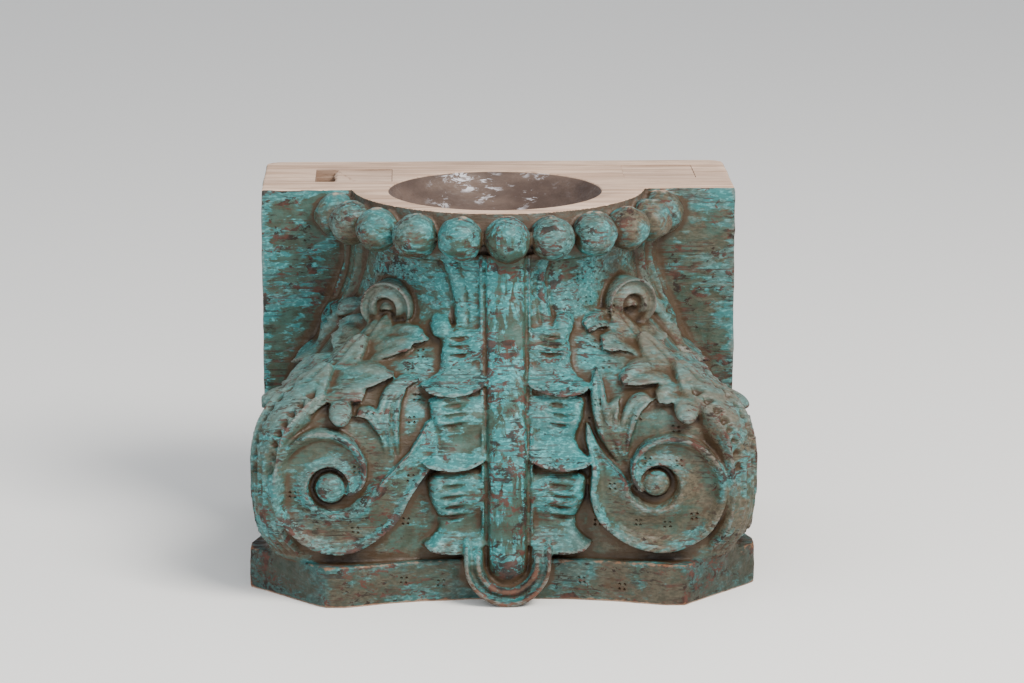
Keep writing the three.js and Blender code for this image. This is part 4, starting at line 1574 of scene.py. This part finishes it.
@dataclass(frozen=True)
class WornPaint:
    """Teal paint worn through to old wood, grimy and painted with shade in its recesses, with a raw top
    and a turned bowl.
    """

    bowl: Bowl
    wood: RawWood
    bright: str = "266B6C"
    pale: str = "4B989A"
    mid: str = "2E5047"
    dull: str = "2A382B"
    film: str = "403B2D"
    ash: str = "574F3F"
    # Mud and grime colours, laid in the recesses together with painted shade; also used on the sawn
    # back's kerf marks and checks.
    mud_and_shade: str = "3E2D1B"
    grime_and_shade: str = "180F08"
    bare: str = "4E2C24"
    char: str = "20130E"
    rubbed: str = "756A64"
    tan: str = "835A3F"
    aged: str = "5A4434"
    # Painted shade colour for the plate and the cants.
    shade: str = "181E15"
    # Grey-teal for the raised leaves and curls: their dusty colour, partly a painted highlight.
    bloom_and_highlight: str = "7C857C"
    drab: str = "5B4C40"
    pocket: str = "5C4230"
    bowl_deep: str = "4A3B34"
    bowl_pale: str = "64534A"
    silver: str = "C6C4CA"

    def streaks(self, ink: Ink, zones: Zones) -> Socket:
        """Fine pattern drawn out along the timber's grain, and down the length of the middle rib."""
        level = ink.noise(210.0, 4.0, 0.7, (0.32, 0.7, 1.0), 0.35)
        upright = ink.noise(210.0, 4.0, 0.7, (1.0, 1.0, 0.2), 0.35)
        return ink.blend(zones.rib, level, upright)

    def coat(self, ink: Ink, zones: Zones, streak: Socket) -> Socket:
        """1 where the bright top coat is left, in patches broken into streaks; raised and upward-facing
        surfaces keep more of it, which is a painted highlight.
        """
        patch = ink.noise(24.0, 4.0, 0.6, (0.8, 1, 1), 0.4)
        kept = ink.total(
            (patch, 0.5),
            (streak, 0.5),
            # Raised and upward-facing surfaces keep more bright coat: a painted highlight.
            (zones.proud, 0.5),
            (ink.lean, 0.07),
            (zones.at(Zone.HUSKS), 0.024),
            (zones.rib, -0.068),
            # Less bright coat low on the slab beside the bell: a painted shadow of the bell.
            (zones.at(Zone.SLAB_FOOT), -0.070),
            (zones.neck, 0.05),
        )
        return ink.span(kept, 0.502, 0.552)

    def lost(self, ink: Ink, zones: Zones, streak: Socket) -> Socket:
        """1 where all paint is gone: chips, scratches along the grain and rubbed arrises."""
        chips = ink.noise(170.0, 4.0, 0.72, (0.5, 1, 1), 0.6)
        where = ink.noise(23.0, 3.0, 0.6)
        hair = ink.noise(520.0, 2.0, 0.62, (0.06, 0.6, 1.0), 0.1)
        worn = ink.total(
            (chips, 0.7),
            (where, 0.4),
            (zones.arris, 0.26),
            (zones.rib, 0.034),
            (zones.at(Zone.CANTS), 0.030),
            (zones.at(Zone.LEAVES), -0.022),
        )
        scored = ink.times(ink.span(hair, 0.56, 0.61), ink.span(where, 0.38, 0.56))
        bared = ink.times(ink.span(streak, 0.395, 0.365), ink.span(where, 0.36, 0.50))
        return ink.most(ink.span(worn, 0.632, 0.655), ink.times(ink.most(scored, bared), 0.8))

    def dust(self, ink: Ink, zones: Zones) -> Socket:
        """How thickly the grey-brown film lies: most to the right, low down and on the flanks."""
        amount = ink.total(
            (zones.at(Zone.FLANKS), 0.26),
            (zones.at(Zone.RIGHT), 0.36),
            (zones.curls, 0.25),
            (zones.at(Zone.CANTS), -0.42),
            (zones.at(Zone.LOW), 0.36),
            (zones.at(Zone.BEADS), 0.25),
            (zones.rib, -0.22),
        )
        cloud = ink.noise(40.0, 5.0, 0.74, (0.6, 1, 1), 0.6)
        amount = ink.math("ADD", amount, 0.25, clamp=True)
        return ink.math("MULTIPLY", amount, ink.span(cloud, 0.38, 0.60, 0.25, 1.15), clamp=True)

    def painted(self, ink: Ink, zones: Zones, coat: Socket, fine: Socket) -> Socket:
        """Colour of the paint as it was left: two coats, the under one in darker patches and the bright
        one kept more where a painted highlight falls, dust over them, painted shade on the plate and the
        cants, and a grey-teal bloom that is partly a painted highlight.

        Args:
            ink: The material's nodes.
            zones: Where things are.
            coat: 1 where the bright coat is left.
            fine: A fine pattern.

        Returns:
            The colour.
        """
        blotch = ink.noise(75.0, 4.0, 0.7)
        under = ink.mix(ink.span(blotch, 0.40, 0.60), tint(self.dull), tint(self.mid))
        bright = ink.mix(ink.span(fine, 0.47, 0.68), tint(self.bright), tint(self.pale))
        calm = ink.most(zones.at(Zone.LEAVES), zones.curls)
        even = ink.math("ADD", ink.times(coat, 0.55), 0.20)
        colour = ink.mix(ink.blend(calm, coat, even), under, bright)
        haze = ink.mix(ink.span(fine, 0.35, 0.65), tint(self.film), tint(self.ash))
        colour = ink.mix(self.dust(ink, zones), colour, haze)
        # Painted shade: the plate and the cants turned towards the shade colour.
        low_painted_shade = ink.total((zones.at(Zone.CANTS), 0.36), (zones.at(Zone.PLATE), 0.32))
        colour = ink.mix(low_painted_shade, colour, tint(self.shade))
        # Grey-teal on the raised parts of the leaves and curls: partly their dusty colour, partly a
        # painted highlight.
        bloom_and_highlight = ink.times(calm, ink.span(zones.proud, -0.02, 0.10, 0.0, 0.24))
        return ink.mix(bloom_and_highlight, colour, tint(self.bloom_and_highlight))

    def worn(self, ink: Ink, zones: Zones, lost: Socket, fine: Socket, colour: Socket) -> Socket:
        """The same paint with its arrises rubbed, its lost patches bare and the plate's edges chipped.

        Args:
            ink: The material's nodes.
            zones: Where things are.
            lost: 1 where the paint is gone.
            fine: A fine pattern.
            colour: The paint before wear.

        Returns:
            The colour.
        """
        rubbed = ink.span(ink.math("ADD", zones.arris, ink.times(fine, 0.3)), 0.315, 0.375)
        colour = ink.mix(ink.times(rubbed, 0.32), colour, tint(self.rubbed))
        bare = ink.mix(ink.span(ink.noise(95.0, 3.0), 0.38, 0.62), tint(self.bare), tint(self.char))
        colour = ink.mix(ink.times(lost, 0.88), colour, bare)
        chipped = ink.span(ink.math("ADD", zones.arris, ink.times(fine, 0.25)), 0.24, 0.31)
        away = ink.span(ink.aside, 0.036, 0.050, 0.22, 0.62)
        return ink.mix(ink.times(zones.at(Zone.PLATE), chipped, away), colour, tint(self.tan))

    def soiled_and_shaded(self, ink: Ink, zones: Zones, colour: Socket) -> Socket:
        """The same paint with mud and grime, together with painted shade, in its recesses, on surfaces
        that face down, under the beads and near the foot, and drab wood behind the beads.

        Args:
            ink: The material's nodes.
            zones: Where things are.
            colour: The paint before it got dirty.

        Returns:
            The colour.
        """
        broken = ink.noise(170.0, 4.0, 0.72, (0.6, 1, 1), 0.3)
        cloud = ink.noise(45.0, 4.0, 0.6)
        # Mask of dirt and painted shade: high where the surface lies deep or faces down, under the beads
        # and near the foot; lowered on the neck, cants, scrolls and husk fronts.
        dirt_and_shade = ink.total(
            (broken, 0.6),
            (cloud, 0.4),
            (zones.proud, -3.0),
            (ink.span(ink.lean, -0.05, -0.75), 0.36),
            (zones.at(Zone.FOOT), 0.13),
            (zones.neck, -0.38),
            (zones.at(Zone.CANTS), -0.19),
            (zones.scrolls, -0.22),
            (zones.at(Zone.HUSK_FRONTS), -0.20),
            (zones.bead_bottoms_shade, 0.15),
        )
        colour = ink.mix(ink.span(dirt_and_shade, 0.60, 0.80, 0.0, 0.9), colour, tint(self.mud_and_shade))
        # Near-black where the mask is strongest: grime with painted shade in the deepest hollows.
        colour = ink.mix(ink.span(dirt_and_shade, 0.92, 1.35, 0.0, 0.9), colour, tint(self.grime_and_shade))
        strip = ink.times(zones.at(Zone.COLLAR), ink.span(broken, 0.38, 0.58, 0.6, 0.95))
        return ink.mix(strip, colour, tint(self.drab))

    def inside(self, ink: Ink) -> Socket:
        """Colour of the bowl: stained wood with flakes of an old silvery coat."""
        turn = ink.noise(22.0, 5.0, 0.6, (1, 1, 3.0))
        flake = ink.noise(120.0, 5.0, 0.75, (0.45, 0.8, 1.6), 0.5)
        cloud = ink.noise(30.0, 3.0, 0.6)
        body = ink.mix(ink.span(turn, 0.35, 0.7), tint(self.bowl_deep), tint(self.bowl_pale))
        zone = ink.times(ink.span(ink.y, 0.015, 0.055), ink.span(ink.aside, 0.062, 0.030))
        shown = ink.times(ink.span(flake, 0.55, 0.60), ink.span(cloud, 0.42, 0.60), zone)
        return ink.mix(shown, body, tint(self.silver))

    def sawn(self, ink: Ink, raw: Socket) -> Socket:
        """Colour of the back and the underside: the same wood left sawn, brown and stained with age."""
        kerf = ink.noise(210.0, 4.0, 0.6, (1.0, 1.0, 0.07), 0.4)
        stain = ink.noise(13.0, 5.0, 0.66, (0.6, 1.0, 1.0), 0.5)
        check = ink.noise(150.0, 3.0, 0.6, (0.03, 1.0, 1.0), 0.2)
        aged = ink.mix(ink.span(stain, 0.36, 0.62, 0.40, 0.85), raw, tint(self.aged))
        aged = ink.mix(ink.span(kerf, 0.54, 0.72, 0.0, 0.30), aged, tint(self.mud_and_shade))
        return ink.mix(ink.span(check, 0.63, 0.67, 0.0, 0.8), aged, tint(self.grime_and_shade))

    def relief(self, ink: Ink) -> Socket:
        """Fine relief: knocks, flaking paint and fibre."""
        knocks = ink.noise(70.0, 3.0, 0.6, (0.5, 1, 1))
        flakes = ink.noise(170.0, 3.0, 0.72, (0.5, 1, 1), 0.6)
        fibre = ink.noise(420.0, 2.0, 0.65, (0.12, 0.6, 1.0))
        normal = ink.bump(knocks, 0.4, 0.0025)
        normal = ink.bump(flakes, 0.45, 0.0012, normal)
        return ink.bump(fibre, 0.45, 0.0007, normal)

    def build(self) -> bpy.types.Material:
        """The timber's finish."""
        ink = Ink("painted_wood")
        zones = Zones(ink, self.bowl)
        raw = self.wood.colour(ink)
        streak = self.streaks(ink, zones)
        lost = self.lost(ink, zones, streak)
        fine = ink.noise(480.0, 2.0, 0.66, (0.5, 1, 1))
        colour = self.painted(ink, zones, self.coat(ink, zones, streak), fine)
        colour = self.worn(ink, zones, lost, fine, colour)
        colour = self.soiled_and_shaded(ink, zones, colour)
        colour = ink.mix(zones.hidden, colour, self.sawn(ink, raw))
        colour = ink.mix(ink.most(zones.top, zones.rim), colour, raw)
        colour = ink.mix(zones.pockets, colour, ink.mix(0.5, raw, tint(self.pocket)))
        colour = ink.mix(zones.hollow, colour, self.inside(ink))
        rough = ink.span(ink.noise(140.0, 4.0), 0.3, 0.7, 0.38, 0.68)
        return ink.surface({
            "Base Color": colour,
            "Roughness": ink.blend(ink.most(zones.top, lost), rough, 0.8),
            "Specular IOR Level": 0.35,
            "Normal": self.relief(ink),
        })


# The pieces


@dataclass(frozen=True)
class CapitalBlock:
    """The one timber: slab, abacus, carved bell, bead row, bowl and mortises."""

    mortises: tuple[Mortise, ...]
    bell: Bell = Bell()
    bowl: Bowl = Bowl()
    voxel: float = 1.15
    triangles: int = 176_000
    sharp: float = 48.0
    worn_back: float = 40.0
    worn_heights: tuple[float, float] = (1.5, HEIGHT - 1.2)
    swell: float = 0.45
    tool_marks: float = 0.22
    settled: float = 0.3

    def rough_out(self) -> Solid:
        """Everything that stands up from the timber, still as overlapping bodies."""
        return join_all([
            Slab().build(),
            Abacus().build(),
            self.bell.build().ahead_of_slab(),
            *FaceCarving(self.bell).build(),
            *(CornerBand(side).build() for side in Side),
            *BeadRow().build(),
        ])

    def shaped(self, piece: bpy.types.Object) -> None:
        """Replaces a piece's mesh by its mesh with all modifiers worked in."""
        graph = bpy.context.evaluated_depsgraph_get()
        mesh = bpy.data.meshes.new_from_object(piece.evaluated_get(graph))
        piece.modifiers.clear()
        old = piece.data
        piece.data = mesh
        bpy.data.meshes.remove(old)

    def weather(self, piece: bpy.types.Object) -> None:
        """Gives the surface the unevenness of handwork and wear."""
        mesh = piece.data
        places = mesh_places(mesh)
        normals = np.zeros(places.size)
        mesh.vertex_normals.foreach_get("vector", normals)
        low, high = self.worn_heights
        inner = (places[:, 2] > low) & (places[:, 2] < high)
        inner &= places[:, 1] < SLAB_FRONT_Y + self.worn_back
        uneven = self.swell * lattice_noise(places, 14.0, 21) - self.settled
        uneven += self.tool_marks * lattice_noise(places * [0.5, 1, 1], 5.0, 22)
        places += normals.reshape(-1, 3) * (uneven * inner)[:, None]
        mesh.vertices.foreach_set("co", (places * MM).ravel())
        mesh.update()

    def cut(self, piece: bpy.types.Object, tool: Solid) -> None:
        """Takes a tool's body out of the timber."""
        cutter = tool.to_object("cutter")
        change = piece.modifiers.new("cut", "BOOLEAN")
        change.operation = "DIFFERENCE"
        change.solver = "EXACT"
        change.object = cutter
        self.shaped(piece)
        bpy.data.objects.remove(cutter)

    def build(self) -> bpy.types.Object:
        """The finished timber."""
        piece = self.rough_out().to_object("carved_timber")
        remesh = piece.modifiers.new("merge", "REMESH")
        remesh.mode = "VOXEL"
        remesh.voxel_size = self.voxel * MM
        self.shaped(piece)
        LOG.info("merged timber: %d faces", len(piece.data.polygons))
        self.weather(piece)
        thin = piece.modifiers.new("thin", "DECIMATE")
        thin.ratio = self.triangles / (2.0 * len(piece.data.polygons))
        self.shaped(piece)
        LOG.info("thinned timber: %d faces", len(piece.data.polygons))
        tools = [self.bowl.build(), *(m.pocket() for m in self.mortises), PunchMarks().build(piece)]
        self.cut(piece, join_all(tools))
        HollowGauge().mark(piece)
        mesh = piece.data
        mesh.shade_smooth()
        mesh.set_sharp_from_angle(angle=math.radians(self.sharp))
        mesh.materials.clear()
        mesh.materials.append(WornPaint(self.bowl, RawWood()).build())
        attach(piece, "root")
        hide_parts("capital_block")
        return piece


@dataclass(frozen=True)
class PlugSet:
    """The two plugs in the top."""

    mortises: tuple[Mortise, ...]
    sharp: float = 40.0

    def build(self) -> list[bpy.types.Object]:
        """One piece a plug, in raw wood."""
        finish = RawWood().build()
        pieces = []
        for mortise in self.mortises:
            piece = mortise.plug().to_object(f"plug_{mortise.name}")
            piece.data.shade_smooth()
            piece.data.set_sharp_from_angle(angle=math.radians(self.sharp))
            piece.data.materials.append(finish)
            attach(piece, "root")
            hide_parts(f"mortise_plug_{mortise.name}")
            pieces.append(piece)
        return pieces


# The studio


@dataclass(frozen=True)
class Studio:
    """Pale floor, soft light and the camera, in metres."""

    focal_px: float = 3494.0
    image_px: tuple[int, int] = (1024, 683)
    sensor: float = 36.0
    camera_place: tuple[float, float, float] = (-0.0705, -2.6504, 0.7888)
    pitch: float = 13.15
    yaw: float = 1.73
    floor_half: float = 9.0
    floor_colour: tuple[float, ...] = (0.95, 0.94, 0.915, 1.0)
    air_colour: tuple[float, ...] = (0.92, 0.95, 1.0, 1.0)
    air_strength: float = 0.68

    def floor(self) -> None:
        """A wide plain floor."""
        half = self.floor_half
        corners = [(-half, -half, 0), (half, -half, 0), (half, half, 0), (-half, half, 0)]
        mesh = bpy.data.meshes.new("floor")
        mesh.from_pydata(corners, [], [(0, 1, 2, 3)])
        piece = placed("floor", mesh)
        looks = {"Base Color": self.floor_colour, "Roughness": 0.9}
        mesh.materials.append(Ink("pale_floor").surface(looks))

    def light(self, name: str, place: Sequence[float], aim: Sequence[float], size: float, power: float,
              colour: Sequence[float]) -> None:
        """One soft square light."""
        lamp = bpy.data.lights.new(name, "AREA")
        lamp.size = size
        lamp.energy = power
        lamp.color = colour
        piece = placed(name, lamp)
        piece.location = place
        piece.rotation_euler = (Vector(aim) - Vector(place)).to_track_quat("-Z", "Y").to_euler()

    def lights(self) -> None:
        """Soft daylight from above and the right, and pale air all round."""
        self.light("key", (1.3, -1.5, 2.2), (0, 0, 0.15), 1.3, 120.0, (1.0, 0.96, 0.9))
        self.light("fill", (-1.8, -1.6, 1.2), (0, 0, 0.15), 2.2, 20.0, (0.9, 0.96, 1.0))
        self.light("front", (0.0, -2.8, 1.6), (0, 0, 0.1), 2.0, 18.0, (1, 1, 1))
        world = bpy.data.worlds.new("air")
        world.use_nodes = True
        air = world.node_tree.nodes["Background"]
        air.inputs["Color"].default_value = self.air_colour
        air.inputs["Strength"].default_value = self.air_strength
        bpy.context.scene.world = world

    def camera(self) -> None:
        """The camera where the photograph was taken."""
        lens = bpy.data.cameras.new("view")
        lens.sensor_width = self.sensor
        lens.lens = self.sensor * self.focal_px / self.image_px[0]
        lens.clip_end = 50.0
        piece = placed("view", lens)
        piece.location = self.camera_place
        piece.rotation_euler = (math.radians(90 - self.pitch), 0, -math.radians(self.yaw))
        bpy.context.scene.camera = piece


def main() -> None:
    """Builds every piece in order."""
    logging.basicConfig(level=logging.INFO, format="%(name)s: %(message)s")
    studio = Studio()
    studio.camera()
    studio.floor()
    studio.lights()
    mortises = (
        Mortise("left", (-144, -83), (62, 116), (-130, -83), 0.6),
        Mortise("right", (101, 158), (73, 127), (101, 158), 0.4),
    )
    for piece in [CapitalBlock(mortises).build(), *PlugSet(mortises).build()]:
        LOG.info("%s: %d faces", piece.name, len(piece.data.polygons))


if __name__ == "__main__":
    main()
